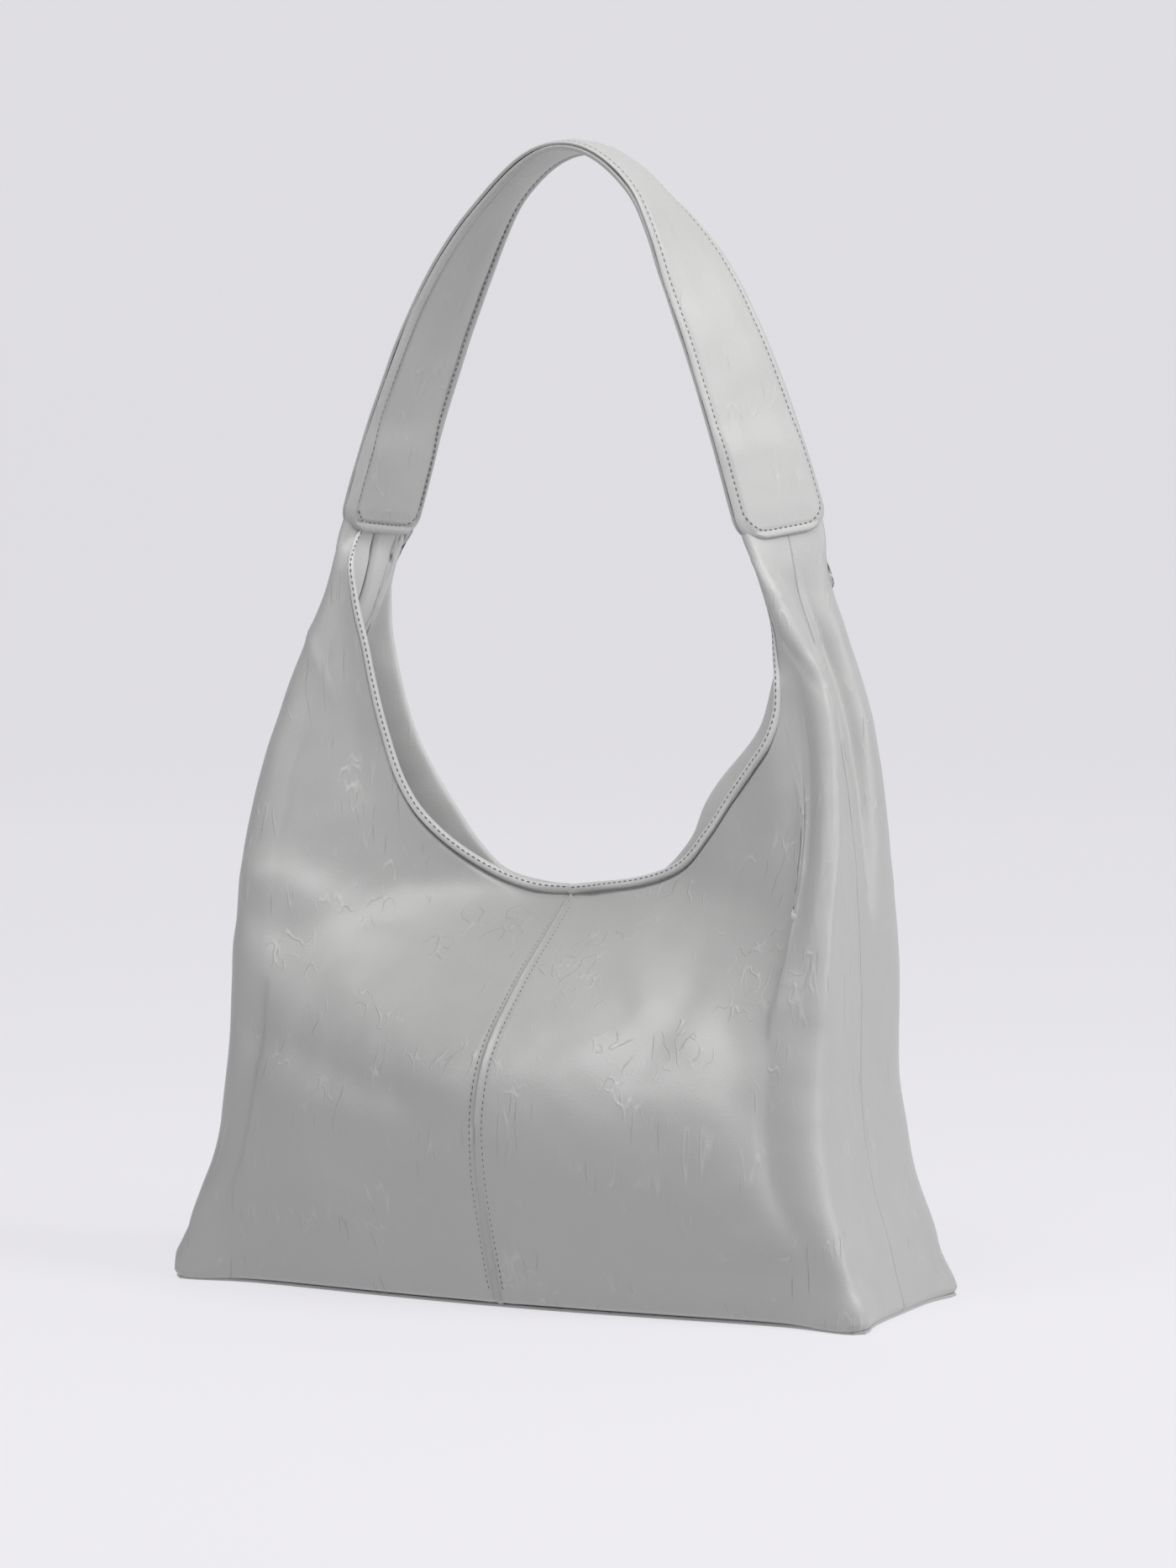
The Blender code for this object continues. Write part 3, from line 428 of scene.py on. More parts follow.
# ---- making pieces
def finishPiece(name, mesh, material):
    mesh.materials.append(material)
    piece = bpy.data.objects.new(name, mesh)
    bpy.context.scene.collection.objects.link(piece)
    return piece


def attach(piece, body):  # body is a name, or "ear" for what bends between bag and strap
    if body == "ear":
        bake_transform(piece)
    else:
        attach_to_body(piece, body)


def meshPiece(name, bm, material, body, sharpAngle=None, flat=False):
    mesh = bpy.data.meshes.new(name)
    bm.to_mesh(mesh)
    bm.free()
    if not flat:
        mesh.shade_smooth()
    if sharpAngle:
        mesh.set_sharp_from_angle(angle=math.radians(sharpAngle))
    piece = finishPiece(name, mesh, material)
    if body:
        attach(piece, body)
    return piece


def moveNew(bm, made, by):  # shift the vertices that an operator made
    verts = [v for v in made["geom"] if isinstance(v, bmesh.types.BMVert)]
    bmesh.ops.translate(bm, verts=verts, vec=by)


def gridPiece(name, columns, rows, place, material, slot, thickness, body, flip=False, rim=0.0, cut=None):
    bm = bmesh.new()
    bmesh.ops.create_grid(bm, x_segments=max(int(columns * detail), 4),
                          y_segments=max(int(rows * detail), 3), size=0.5, calc_uvs=True)
    flat = np.array([v.co[:] for v in bm.verts])[:, :2] + 0.5
    across, up = np.clip(flat.T, 0, 1)
    for vertex, co in zip(bm.verts, place(across, up)):
        vertex.co = co
    if cut:
        cut(bm)
    if flip:
        bmesh.ops.reverse_faces(bm, faces=bm.faces)
    piece = meshPiece(name, bm, material, body, sharpAngle=50)
    solid = piece.modifiers.new("thickness", "SOLIDIFY")
    solid.thickness, solid.offset = thickness, -1
    if rim:
        soft = piece.modifiers.new("softRim", "BEVEL")
        soft.width, soft.segments = rim, 3
        soft.limit_method, soft.angle_limit = "ANGLE", math.radians(60)
    return piece


def crowdEnds(at, amount):  # even steps that bunch up towards both ends
    return at * (1 - amount) + amount * (at * at * (3 - 2 * at))


# ---- materials
def nodesOf(name):
    material = bpy.data.materials.new(name)
    material.use_nodes = True
    tree = material.node_tree
    return material, tree, tree.nodes["Principled BSDF"]


def addNode(tree, kind, inputs=(), **settings):
    made = tree.nodes.new(kind)
    for key, value in settings.items():
        setattr(made, key, value)
    for socket, value in dict(inputs).items():
        if isinstance(value, bpy.types.NodeSocket):
            tree.links.new(value, made.inputs[socket])
        else:
            made.inputs[socket].default_value = value
    return made


def mathNode(tree, operation, a, b=0.0, c=0.0):
    return addNode(tree, "ShaderNodeMath", {0: a, 1: b, 2: c}, operation=operation).outputs[0]


def vectorNode(tree, operation, inputs):
    return addNode(tree, "ShaderNodeVectorMath", inputs, operation=operation).outputs[0]


def noiseNode(tree, place, scale, **more):
    more = {key.capitalize(): value for key, value in more.items()}
    return addNode(tree, "ShaderNodeTexNoise", {"Vector": place, "Scale": scale, **more})


def rampNode(tree, value, low, high):  # grey levels, (place, level) at each end
    ramp = addNode(tree, "ShaderNodeValToRGB", {0: value})
    for stop, (at, level) in zip(ramp.color_ramp.elements, (low, high)):
        stop.position, stop.color = at, (level, level, level, 1)
    return ramp.outputs[0]


def paint(tree, shader, colour, shade):
    tree.links.new(vectorNode(tree, "SCALE", {0: colour, "Scale": shade}), shader.inputs["Base Color"])


def carve(tree, shader, height):
    bump = addNode(tree, "ShaderNodeBump", {"Height": height, "Strength": 1.0, "Distance": 1.0})
    tree.links.new(bump.outputs[0], shader.inputs["Normal"])


leatherLook = {
    "creases": [(32, 140, 0.030), (-36, 125, 0.026), (68, 150, 0.030)],  # tilt, size, width
    "creaseStretch": 0.07, "creasePatch": 38, "patchEdge": (0.585, 0.68),
    "creaseTone": 0.14, "crinkleDepth": 0.00028,
    "warpScale": 22, "warp": 0.004,
    "grainScale": 900, "grainDepth": 0.00006,
    "softScale": 24, "softDepth": 0.0013,
    "toneScale": 6, "tone": 0.16, "roughTone": 0.22,
    "coatRoughness": 0.28,
}


def leatherMaterial(name, colour, roughness, coat, crinkle=1.0):
    look = leatherLook
    material, tree, shader = nodesOf(name)
    place = tree.nodes.new("ShaderNodeTexCoord").outputs["Object"]
    warp = noiseNode(tree, place, look["warpScale"], detail=3).outputs["Color"]
    drift = vectorNode(tree, "SUBTRACT", {0: warp, 1: (0.5, 0.5, 0.5)})
    drift = vectorNode(tree, "SCALE", {0: drift, "Scale": look["warp"]})
    moved = vectorNode(tree, "ADD", {0: place, 1: drift})
    # thin crease lines: level lines of stretched noise, shown only here and there
    crease = None
    for tilt, size, width in look["creases"]:
        scale = (size, size, size * look["creaseStretch"])
        turned = addNode(tree, "ShaderNodeMapping", {"Vector": moved, "Rotation": (0, math.radians(tilt), 0),
                                                     "Scale": scale}).outputs[0]
        flow = noiseNode(tree, turned, 1, detail=0.6).outputs[0]
        off = mathNode(tree, "ABSOLUTE", mathNode(tree, "SUBTRACT", flow, 0.5))
        line = rampNode(tree, off, (0.0, 1.0), (width, 0.0))
        where = noiseNode(tree, place, look["creasePatch"] + tilt * 0.1, detail=1.2).outputs[0]
        low, high = look["patchEdge"]
        line = mathNode(tree, "MULTIPLY", line, rampNode(tree, where, (low, 0.0), (high, 1.0)))
        crease = mathNode(tree, "MAXIMUM", line, crease) if crease is not None else line
    soft = noiseNode(tree, moved, look["softScale"], detail=2).outputs[0]
    grain = addNode(tree, "ShaderNodeTexVoronoi", {"Vector": place, "Scale": look["grainScale"]})
    tone = noiseNode(tree, place, look["toneScale"], detail=5, roughness=0.6).outputs[0]
    shade = mathNode(tree, "MULTIPLY_ADD", tone, look["tone"], 1 - look["tone"] / 2)
    shade = mathNode(tree, "MULTIPLY_ADD", crease, look["creaseTone"] * crinkle, shade)
    paint(tree, shader, colour, shade)
    rough = mathNode(tree, "MULTIPLY_ADD", tone, look["roughTone"], roughness - look["roughTone"] / 2)
    tree.links.new(rough, shader.inputs["Roughness"])
    shader.inputs["Coat Weight"].default_value = coat
    shader.inputs["Coat Roughness"].default_value = look["coatRoughness"]
    height = mathNode(tree, "MULTIPLY", crease, look["crinkleDepth"] * crinkle)
    height = mathNode(tree, "MULTIPLY_ADD", grain.outputs["Distance"], look["grainDepth"], height)
    carve(tree, shader, mathNode(tree, "MULTIPLY_ADD", soft, look["softDepth"], height))
    return material


clothLook = {"toneScale": 40, "tone": 0.2, "weaveTone": 0.05, "roughness": 0.85, "sheen": 0.25}


def clothMaterial(name, colour, threads, depth):
    look = clothLook
    material, tree, shader = nodesOf(name)
    place = tree.nodes.new("ShaderNodeTexCoord").outputs["Object"]
    split = addNode(tree, "ShaderNodeSeparateXYZ", {0: place})
    warpLines, weftLines = (mathNode(tree, "SINE", mathNode(tree, "MULTIPLY", split.outputs[axis], threads))
                            for axis in "XZ")
    weave = mathNode(tree, "MULTIPLY", warpLines, weftLines)
    tone = noiseNode(tree, place, look["toneScale"], detail=4).outputs[0]
    shade = mathNode(tree, "MULTIPLY_ADD", tone, look["tone"], 1 - look["tone"] / 2)
    paint(tree, shader, colour, mathNode(tree, "MULTIPLY_ADD", weave, look["weaveTone"], shade))
    shader.inputs["Roughness"].default_value = look["roughness"]
    shader.inputs["Sheen Weight"].default_value = look["sheen"]
    carve(tree, shader, mathNode(tree, "MULTIPLY", weave, depth))
    return material


metalLook = {"wearScale": 420, "tone": 0.12, "roughTone": 0.2}


def metalMaterial(name, colour, roughness):
    look = metalLook
    material, tree, shader = nodesOf(name)
    place = tree.nodes.new("ShaderNodeTexCoord").outputs["Object"]
    wear = noiseNode(tree, place, look["wearScale"], detail=3).outputs[0]
    rough = mathNode(tree, "MULTIPLY_ADD", wear, look["roughTone"], roughness - look["roughTone"] / 2)
    tree.links.new(rough, shader.inputs["Roughness"])
    paint(tree, shader, colour, mathNode(tree, "MULTIPLY_ADD", wear, look["tone"], 1 - look["tone"] / 2))
    shader.inputs["Metallic"].default_value = 1
    return material


leatherFinish = leatherMaterial("glazedLeather", (0.435, 0.44, 0.43), 0.43, 0.13)
strapFinish = leatherMaterial("strapLeather", (0.44, 0.445, 0.435), 0.50, 0.06, 0.6)
# painted light: the facings are the panels' leather given a lighter colour, which stands in for the light
# reaching inside the mouth and over the lip
facingPaintedLightFinish = leatherMaterial("facingLeatherPaintedLight", (0.60, 0.605, 0.595), 0.45, 0.15, 0.5)
threadFinish = clothMaterial("sewingThread", (0.15, 0.15, 0.15), 9000, 0.00003)
liningFinish = clothMaterial("liningCloth", (0.56, 0.56, 0.55), 6500, 0.00006)
tapeFinish = clothMaterial("zipTapeCloth", (0.36, 0.36, 0.36), 8500, 0.00008)
fillerFinish = clothMaterial("strapFiller", (0.62, 0.61, 0.58), 3000, 0.00005)
boardFinish = clothMaterial("fibreBoard", (0.30, 0.28, 0.25), 2500, 0.00004)
coilFinish = metalMaterial("zipTeeth", (0.5, 0.5, 0.51), 0.3)
metalFinish = metalMaterial("brushedNickel", (0.62, 0.62, 0.63), 0.25)
print("materials made")

# ---- the facings, whose upper edges roll over the mouth as a sewn lip
facing = {
    "thickness": 1.0 * mm, "columns": 300, "rows": 46,
    "edge": [(0, 289), (0.12, 267), (0.27, 239), (0.42, 216), (0.56, 195), (0.72, 177), (0.86, 168), (1, 165)],
    # (length along the section, distance below the lip's top, inset), millimetres
    "lip": [(0, 4.3, 0.8), (0.8, 3.9, -0.7), (1.8, 2.9, -1.2), (3.4, 1.3, -1.0), (4.5, 0.3, -0.2),
            (5.5, 0, 0.8), (6.5, 0.3, 1.8), (7.8, 1.4, 2.7), (10.4, 3.9, 3.6), (15.5, 8.7, 4.9),
            (21.5, 14.6, 6.2), (26.5, 19.6, 6.6)],
    "rise": {front: 3.6, back: 0.3},  # of the lip's top over the panel's edge line
    "lipShare": 0.62,  # of the rows
    "earInset": 5.0 * mm, "lowInset": 6.6 * mm,  # inside the strap, and below the lip
    "foldDepth": 2.4 * mm, "foldWidth": 2.2 * mm,  # of the folded line where the two facings meet
}

# ---- the four panels
panel = {"columns": 150, "rows": 170, "bottom": 0.3 * mm, "edge": 2.2 * mm,
         "edgeDip": 1.3 * mm, "edgeDipAt": 2.6 * mm, "edgeDipWidth": 1.4 * mm,
         "underLip": 0.5 * mm, "underLipFrom": (6 * mm, 1 * mm), "turnHeight": 5 * mm,
         "insetHeights": (350 * mm, 330 * mm), "crowd": (0.45, 0.3)}
earShare = 0.15  # of a panel's columns that end level inside the strap


def mouthLine(side, face, across):  # top of a panel: level along the ear, then down the mouth edge
    path = mouth[side, face]
    share, height = alongPath(path, np.clip((across - earShare) / (1 - earShare), 0, 1))
    level = across <= earShare
    return np.where(level, path[0][0] * across / earShare, share), np.where(level, path[0][1] * mm, height)


def belowMouth(side, face, across, down):  # the point `down` from the mouth edge, square to it
    girth = surface["girth"] * mm
    near = 0.012
    share, height = mouthLine(side, face, across)
    s0, z0 = mouthLine(side, face, np.maximum(across - near, 0))
    s1, z1 = mouthLine(side, face, np.minimum(across + near, 1))
    run, drop = (s1 - s0) * girth, z1 - z0
    size = np.hypot(run, drop)
    downShare = share + down * drop / size / girth
    downHeight = height - down * run / size
    return np.clip(downShare, 0, 1), downHeight


def makePanels():
    p = panel
    for side in (left, right):
        for face in (front, back):
            def place(across, up, side=side, face=face):
                across, up = crowdEnds(across, p["crowd"][0]), crowdEnds(up, p["crowd"][1])
                edge = p["edge"] - facing["rise"][face] * mm
                share, height = belowMouth(side, face, across, edge)
                low = p["bottom"]
                share = np.clip(share * up + across * (1 - up), 0, 0.9998)
                away = (1 - up) * (height - low)
                inset = p["edgeDip"] * bell((away - p["edgeDipAt"]) / p["edgeDipWidth"])
                inset = inset + p["underLip"] * ease(*p["underLipFrom"], away)
                height = low + (height - low) * up
                inset = inset + surface["baseTurn"] * ease(p["turnHeight"], 0, height) ** 2
                inset = inset * ease(*p["insetHeights"], height)
                return skin(side, face, share, height, inset, seams=True)

            name = faceName[face] + "Panel" + sideName[side]
            piece = gridPiece(name, p["columns"], p["rows"], place, leatherFinish, "leather",
                              shell["thickness"], "ear", flip=side * face < 0)
            nodes = [f"{faceName[face]}_panel_{sideName[side].lower()}"]
            if face == front:
                nodes.append(f"{sideName[side].lower()}_ear_end")
            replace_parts(piece, *nodes)


makePanels()
print("panels made")


def bothSides(across):  # a mask, and the way from the ear to the middle, for each side
    for side in (left, right):
        mine = across < 0.5 if side == left else across >= 0.5
        yield side, mine, np.clip(2 * (across[mine] if side == left else 1 - across[mine]), 0, 1)


def facingPoint(face, across, up):
    f = facing
    result = np.empty((len(across), 3))
    lengths, downs, insets = zip(*f["lip"])
    for side, mine, a in bothSides(across):
        t = 1 - up[mine]  # from the sewn edge of the lip, over and down inside
        along = np.clip(t / f["lipShare"], 0, 1) * lengths[-1]
        down = (smooth(list(zip(lengths, downs)), along) - f["rise"][face]) * mm
        inset = smooth(list(zip(lengths, insets)), along) * mm
        share, height = belowMouth(side, face, a, down)
        lowShare, lowHeight = alongPath(f["edge"], a)
        rest = np.clip((t - f["lipShare"]) / (1 - f["lipShare"]), 0, 1)
        share, height = share * (1 - rest) + lowShare * rest, height * (1 - rest) + lowHeight * rest
        share = np.clip(share, 0.0008, 0.9999)
        level = ease(earShare + 0.01, earShare - 0.01, a)
        inset = np.where(inset < f["lowInset"], inset * (1 - level) + f["earInset"] * level, inset)
        fold = f["foldDepth"] * bell(share * surface["girth"] * mm / f["foldWidth"])
        inset = inset - fold * ease(0, 0.3, t)
        result[mine] = skin(side, face, share, height, inset)
    return result


def makeFacings():
    f = facing
    for face in (front, back):
        piece = gridPiece(faceName[face] + "Facing", f["columns"], f["rows"],
                          lambda a, u, face=face: facingPoint(face, a, u),
                          facingPaintedLightFinish, "facing_leather", f["thickness"], "ear", flip=face < 0)
        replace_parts(piece, f"{faceName[face]}_facing")


makeFacings()
print("facings made")

# ---- the base, and the boards inside it
base = {"thickness": 1.6 * mm, "inset": 1.8 * mm, "rim": 0.6 * mm, "points": 60,
        "cloth": 0.7 * mm, "clothInset": 8.6 * mm, "clothHeight": 4.9 * mm, "clothLevel": 4 * mm,
        "flat": (0.345, 0.118), "area": 0.0369}


def slab(z, level, inset, thickness):  # the outline of the leather's inside, as a flat sheet
    bm = bmesh.new()
    share = np.arange(base["points"]) / base["points"]
    outline = []
    for side, face in ((right, front), (left, front), (left, back), (right, back)):
        shares = 1 - share if side == face else share
        points = skin(side, face, shares, np.full(len(shares), level), inset)
        outline += [bm.verts.new((x, y, z)) for x, y, _ in points.tolist()]
    moveNew(bm, bmesh.ops.extrude_face_region(bm, geom=[bm.faces.new(outline)]), (0, 0, thickness))
    bmesh.ops.recalc_face_normals(bm, faces=bm.faces)
    return bm


def makeBase():
    b = base
    bm = slab(0, 0.0, b["inset"], b["thickness"])
    rims = [e for e in bm.edges if len({len(f.verts) > 4 for f in e.link_faces}) == 2]
    bmesh.ops.bevel(bm, geom=rims, offset=b["rim"], segments=3, affect="EDGES", profile=0.5, material=-1)
    piece = meshPiece("basePanel", bm, leatherFinish, "bag", flat=True)
    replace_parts(piece, "base_panel")

    bm = slab(b["clothHeight"], b["clothLevel"], b["clothInset"], -b["cloth"])
    cloth = meshPiece("liningBase", bm, liningFinish, "bag", flat=True)
    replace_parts(cloth, "lining_base")


makeBase()
print("base made")

# ---- the lining and its pockets
lining = {
    "thickness": 0.7 * mm, "columns": 220, "rows": 70, "floor": 5.6 * mm,
    "inset": 6.9 * mm, "topInset": 5.2 * mm, "floorInset": 8.2 * mm,
    "wave": 1.0 * mm, "waveSize": 30 * mm, "below": 0.3 * mm,  # the facing's edge
    "slot": (69 * mm, 85.5 * mm, 98.5 * mm),  # half width, low, high
    "flat": (0.39, 0.285), "area": {front: 0.0891, back: 0.0804},
}
pockets = {
    "slipPocket": {"face": front, "inset": 9.9 * mm, "halfWidth": 62 * mm, "low": 24 * mm, "high": 112 * mm,
                   "thickness": 0.7 * mm, "node": "slip_pocket", "sag": 2.5 * mm},
    "zipPocketBag": {"face": back, "inset": 3.0 * mm, "halfWidth": 72 * mm, "low": 26 * mm, "high": 79 * mm,
                     "thickness": 1.4 * mm, "node": "zip_pocket_bag", "sag": 0},
}


def liningPoint(face, across, up):
    f = lining
    result = np.empty((len(across), 3))
    for side, mine, a in bothSides(across):
        u = up[mine]
        share, top = alongPath(facing["edge"], a)
        top = top - f["below"]
        share = np.clip(share * u + a * (1 - u), 0.0006, 0.9999)
        height = f["floor"] + (top - f["floor"]) * u
        inset = f["inset"] + (f["topInset"] - f["inset"]) * ease(0.95, 1, u)
        inset = inset + (f["floorInset"] - f["inset"]) * ease(0.05, 0, u)
        flat = onLeather(side, face, share, height)
        calm = ease(0, 0.1, u) * ease(1, 0.9, u)
        inset = inset + f["wave"] * (unevenness(flat, f["waveSize"], 9 + face) + 0.3) * calm
        result[mine] = skin(side, face, share, height, inset)
    return result


def cutSlot(bm):
    half, low, high = lining["slot"]
    sideways, upwards = (1, 0, 0), (0, 0, 1)
    for co, no in (((half, 0, 0), sideways), ((-half, 0, 0), sideways),
                   ((0, 0, low), upwards), ((0, 0, high), upwards)):
        everything = bm.verts[:] + bm.edges[:] + bm.faces[:]
        bmesh.ops.bisect_plane(bm, geom=everything, plane_co=co, plane_no=no)
    middles = [(f, f.calc_center_median()) for f in bm.faces]
    inside = [f for f, at in middles if abs(at.x) < half and low < at.z < high]
    bmesh.ops.delete(bm, geom=inside, context="FACES")


def shareAt(side, face, x, height):  # where along the half girth the leather passes x
    low, high = np.zeros_like(x), np.ones_like(x)
    for _ in range(18):  # halving
        middle = (low + high) / 2
        outside = np.abs(onLeather(side, face, middle, height)[:, 0]) > np.abs(x)
        low, high = np.where(outside, middle, low), np.where(outside, high, middle)
    return (low + high) / 2


def pocketPoint(p, across, up):
    result = np.empty((len(across), 3))
    height = p["low"] + (p["high"] - p["low"]) * up
    x = (across - 0.5) * 2 * p["halfWidth"]
    for side in (left, right):
        mine = x < 0 if side == left else x >= 0
        share = np.clip(shareAt(side, p["face"], x[mine], height[mine]), 0, 0.9999)
        sag = p["sag"] * ease(0.6, 1, up[mine]) * np.sin(np.pi * across[mine])
        result[mine] = skin(side, p["face"], share, height[mine], p["inset"] + sag)
    return result


def makeLining():
    f = lining
    for face in (front, back):
        piece = gridPiece("lining" + faceName[face].capitalize(), f["columns"], f["rows"],
                          lambda a, u, face=face: liningPoint(face, a, u), liningFinish, "lining_cloth",
                          f["thickness"], "bag", flip=face > 0, cut=cutSlot if face == back else None)
        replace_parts(piece, f"lining_{faceName[face]}")
    for name, p in pockets.items():
        piece = gridPiece(name, 60, 40, lambda a, u, p=p: pocketPoint(p, a, u), liningFinish, "lining_cloth",
                          p["thickness"], "bag", flip=p["face"] > 0)
        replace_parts(piece, p["node"])


makeLining()
print("lining made")

# ---- the small hard parts, from their frame shapes with rounded edges
hardParts = [
    # rounding in millimetres, material, slot, body, frame nodes
    (0.5, boardFinish, "board", "bag", ["base_board"]),
    (0.12, tapeFinish, "zip_tape", "bag", ["zip_tape_upper", "zip_tape_lower"]),
    (0.5, metalFinish, "metal", "bag", ["zip_stop_open", "zip_stop_closed"]),
    (0.28, metalFinish, "metal", "slider", ["zip_slider"]),
    (0.3, metalFinish, "metal", "pull", ["zip_pull"]),
    (0.35, metalFinish, "metal", "bag", ["snap_stud", "snap_socket"]),
    (0.15, metalFinish, "metal", "bag", ["snap_washer_front", "snap_washer_back"]),
]


def makeHardPart(node, rounding, material, body):
    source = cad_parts[node]
    bm = bmesh.new()
    bm.from_mesh(source.data)
    bmesh.ops.transform(bm, matrix=source.matrix_world, verts=bm.verts)
    bmesh.ops.remove_doubles(bm, verts=bm.verts, dist=0.01 * mm)
    bmesh.ops.dissolve_limit(bm, angle_limit=math.radians(3), verts=bm.verts, edges=bm.edges)
    sharp = [e for e in bm.edges if len(e.link_faces) == 2 and e.calc_face_angle() > math.radians(28)]
    bmesh.ops.bevel(bm, geom=sharp, offset=rounding * mm, segments=3, affect="EDGES", profile=0.5,
                    material=-1, clamp_overlap=True)
    words = node.split("_")
    name = words[0] + "".join(word.capitalize() for word in words[1:])
    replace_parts(meshPiece(name, bm, material, body, sharpAngle=35), node)


for rounding, material, slot, body, nodes in hardParts:
    for node in nodes:
        makeHardPart(node, rounding, material, body)

zipTeeth = {"pitch": 1.5 * mm, "halfLength": 65 * mm, "height": 92 * mm, "offset": 1.0 * mm,
            "size": (0.5 * mm, 1.0 * mm, 1.05 * mm)}


def makeZipTeeth():
    t = zipTeeth
    low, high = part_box("zip_chain_upper")
    y = (low[1] + high[1]) / 2
    count = int(2 * t["halfLength"] / t["pitch"])
    for name, up, node in (("zipTeethUpper", 1, "zip_chain_upper"), ("zipTeethLower", -1, "zip_chain_lower")):
        bm = bmesh.new()
        for n in range(count):
            x = -t["halfLength"] + (n + 0.5 + 0.25 * up) * t["pitch"]  # the two rows alternate
            x = min(x, t["halfLength"] - t["size"][0])
            place = Matrix.Translation((x, y, t["height"] + up * t["offset"]))
            bmesh.ops.create_uvsphere(bm, u_segments=8, v_segments=6, radius=1,
                                      matrix=place @ Matrix.Diagonal((*t["size"], 1)))
        piece = meshPiece(name, bm, coilFinish, "bag")
        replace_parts(piece, node)


makeZipTeeth()
print("zip and snap made")

# ---- the strap
strapLook = {
    "wave": 0.5 * mm, "waveSize": 22 * mm,  # small unevenness
    "thickness": 1.35 * mm, "rim": 0.4 * mm, "crowd": 0.5,
    "coreShare": 0.64, "coreMargin": 6 * mm, "coreThickness": 1.0 * mm, "coreSize": (120, 8),
    "edgeGap": 0.2 * mm, "tuck": 5 * mm,  # the bands close up on each other along their edges
    "edgeDrop": 0.7 * mm, "edgeRound": 1.1 * mm,
    "crown": 0.7 * mm, "stitchIn": 3.6 * mm, "stitchDent": 0.5 * mm, "dentWidth": 1.0 * mm,
    "border": 5.2 * mm, "borderRoll": 0.9 * mm, "borderGroove": 1.2 * mm, "grooveWidth": 0.7 * mm,
    "crownFull": {False: 15 * mm, True: 14 * mm},  # how far in, outside and underneath
    "straightShare": 20 / 24,  # of the columns, the others go to the round ends
}


def station(share):  # signed distance along the strap, bunched at the round ends
    straight, part = strapHalf() - strap["corner"], strapLook["straightShare"]
    at = np.abs(share)
    turn = np.clip((at - part) / (1 - part), 0, 1) * math.pi / 2
    rounded = straight + strap["corner"] * np.sin(turn)
    return np.sign(share) * np.where(at <= part, straight * at / part, rounded)


def bandSurface(along, across, under):  # the outer or under face of the strap
    look = strapLook
    width = strapHalfWidth(along)
    sideEdge, endEdge = width - np.abs(across), strapHalf() - np.abs(along)
    edge = np.maximum(np.minimum(sideEdge, endEdge), 0)
    gap = look["edgeGap"]
    lift = gap + (strapSwell(along) - gap) * ease(0, look["tuck"], sideEdge) + strap["band"]
    lift = lift - look["edgeDrop"] * (1 - np.clip(edge / look["edgeRound"], 0, 1)) ** 2
    if under:
        start = look["border"]
        lift = lift + look["borderRoll"] * np.sin(np.pi * np.clip(edge / start, 0, 1))
        lift = lift - look["borderGroove"] * bell((edge - start) / look["grooveWidth"])
    else:
        start = look["stitchIn"]
        lift = lift - look["stitchDent"] * bell((edge - start) / look["dentWidth"])
    return lift + look["crown"] * ease(start, look["crownFull"][under], edge)


def bandPoint(along, across, under, proud=0.0):
    lift = bandSurface(along, across, under)
    sign = -1 if under else 1
    middle = strapPoint(along, across, sign * lift)
    wave = unevenness(middle, strapLook["waveSize"], 5 + under) * strapLook["wave"]
    return strapPoint(along, across, sign * (lift + wave + proud))


def makeStrap():
    look = strapLook
    for name, node, under, slot in (("strapOuter", "strap_outer", False, "leather"),
                                    ("strapUnderside", "strap_underside", True, "facing_leather")):
        def place(across, up, under=under):
            along = station(2 * across - 1)
            sideways = (2 * crowdEnds(up, look["crowd"]) - 1) * strapHalfWidth(along)
            return bandPoint(along, sideways, under)

        piece = gridPiece(name, strap["columns"], strap["rows"], place, strapFinish, slot,
                          look["thickness"], "ear", flip=under, rim=look["rim"])
        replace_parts(piece, node)

    def corePlace(across, up):
        along = station((2 * across - 1) * look["coreShare"])
        sideways = (2 * up - 1) * (strapHalfWidth(along) - look["coreMargin"])
        return strapPoint(along, sideways, np.full_like(along, look["coreThickness"] / 2))

    core = gridPiece("strapCore", *look["coreSize"], corePlace, fillerFinish, "strap_filler",
                     look["coreThickness"], "strap")
    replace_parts(core, "strap_core")


makeStrap()
print("strap made")

# ---- stitches
stitch = {"pitch": 3.0 * mm, "length": 2.1 * mm, "width": 0.4 * mm, "sink": 0.12 * mm,
          "batch": 30,  # stitches joined at a time, which is much quicker
          "mouthTop": {front: 366 * mm, back: 332 * mm},
          "onLip": 1.15 * mm, "belowLip": 1.7, "seamLow": 9 * mm, "seamMargin": 6 * mm,
          "strapProud": 0.1 * mm, "underIn": 4.7 * mm}


def stitches(name, rows, body):  # rows of (points, outward directions)
    bm = bmesh.new()
    few = bpy.data.meshes.new("fewStitches")
    for points, outs in rows:
        reach = np.concatenate([[0], np.cumsum(np.linalg.norm(np.diff(points, axis=0), axis=1))])
        count = int(reach[-1] / stitch["pitch"])
        batch = bmesh.new()
        for n in range(count):
            at = (n + 0.5) * reach[-1] / count
            here, ahead, behind = (Vector([np.interp(at + d * mm, reach, points[:, k]) for k in range(3)])
                                   for d in (0, 1, -1))
            out = Vector([np.interp(at, reach, outs[:, k]) for k in range(3)])
            x = (ahead - behind).normalized()
            z = (out - x * out.dot(x)).normalized()
            size = (stitch["length"] / 2, stitch["width"], stitch["width"] * 0.8)
            turn = Matrix((x * size[0], z.cross(x) * size[1], z * size[2])).transposed().to_4x4()
            bmesh.ops.create_uvsphere(batch, u_segments=8, v_segments=5, radius=1,
                                      matrix=Matrix.Translation(here - z * stitch["sink"]) @ turn)
            if (n + 1) % stitch["batch"] == 0 or n == count - 1:
                batch.to_mesh(few)
                bm.from_mesh(few)
                batch.free()
                batch = bmesh.new()
        batch.free()
    meshPiece(name, bm, threadFinish, body)


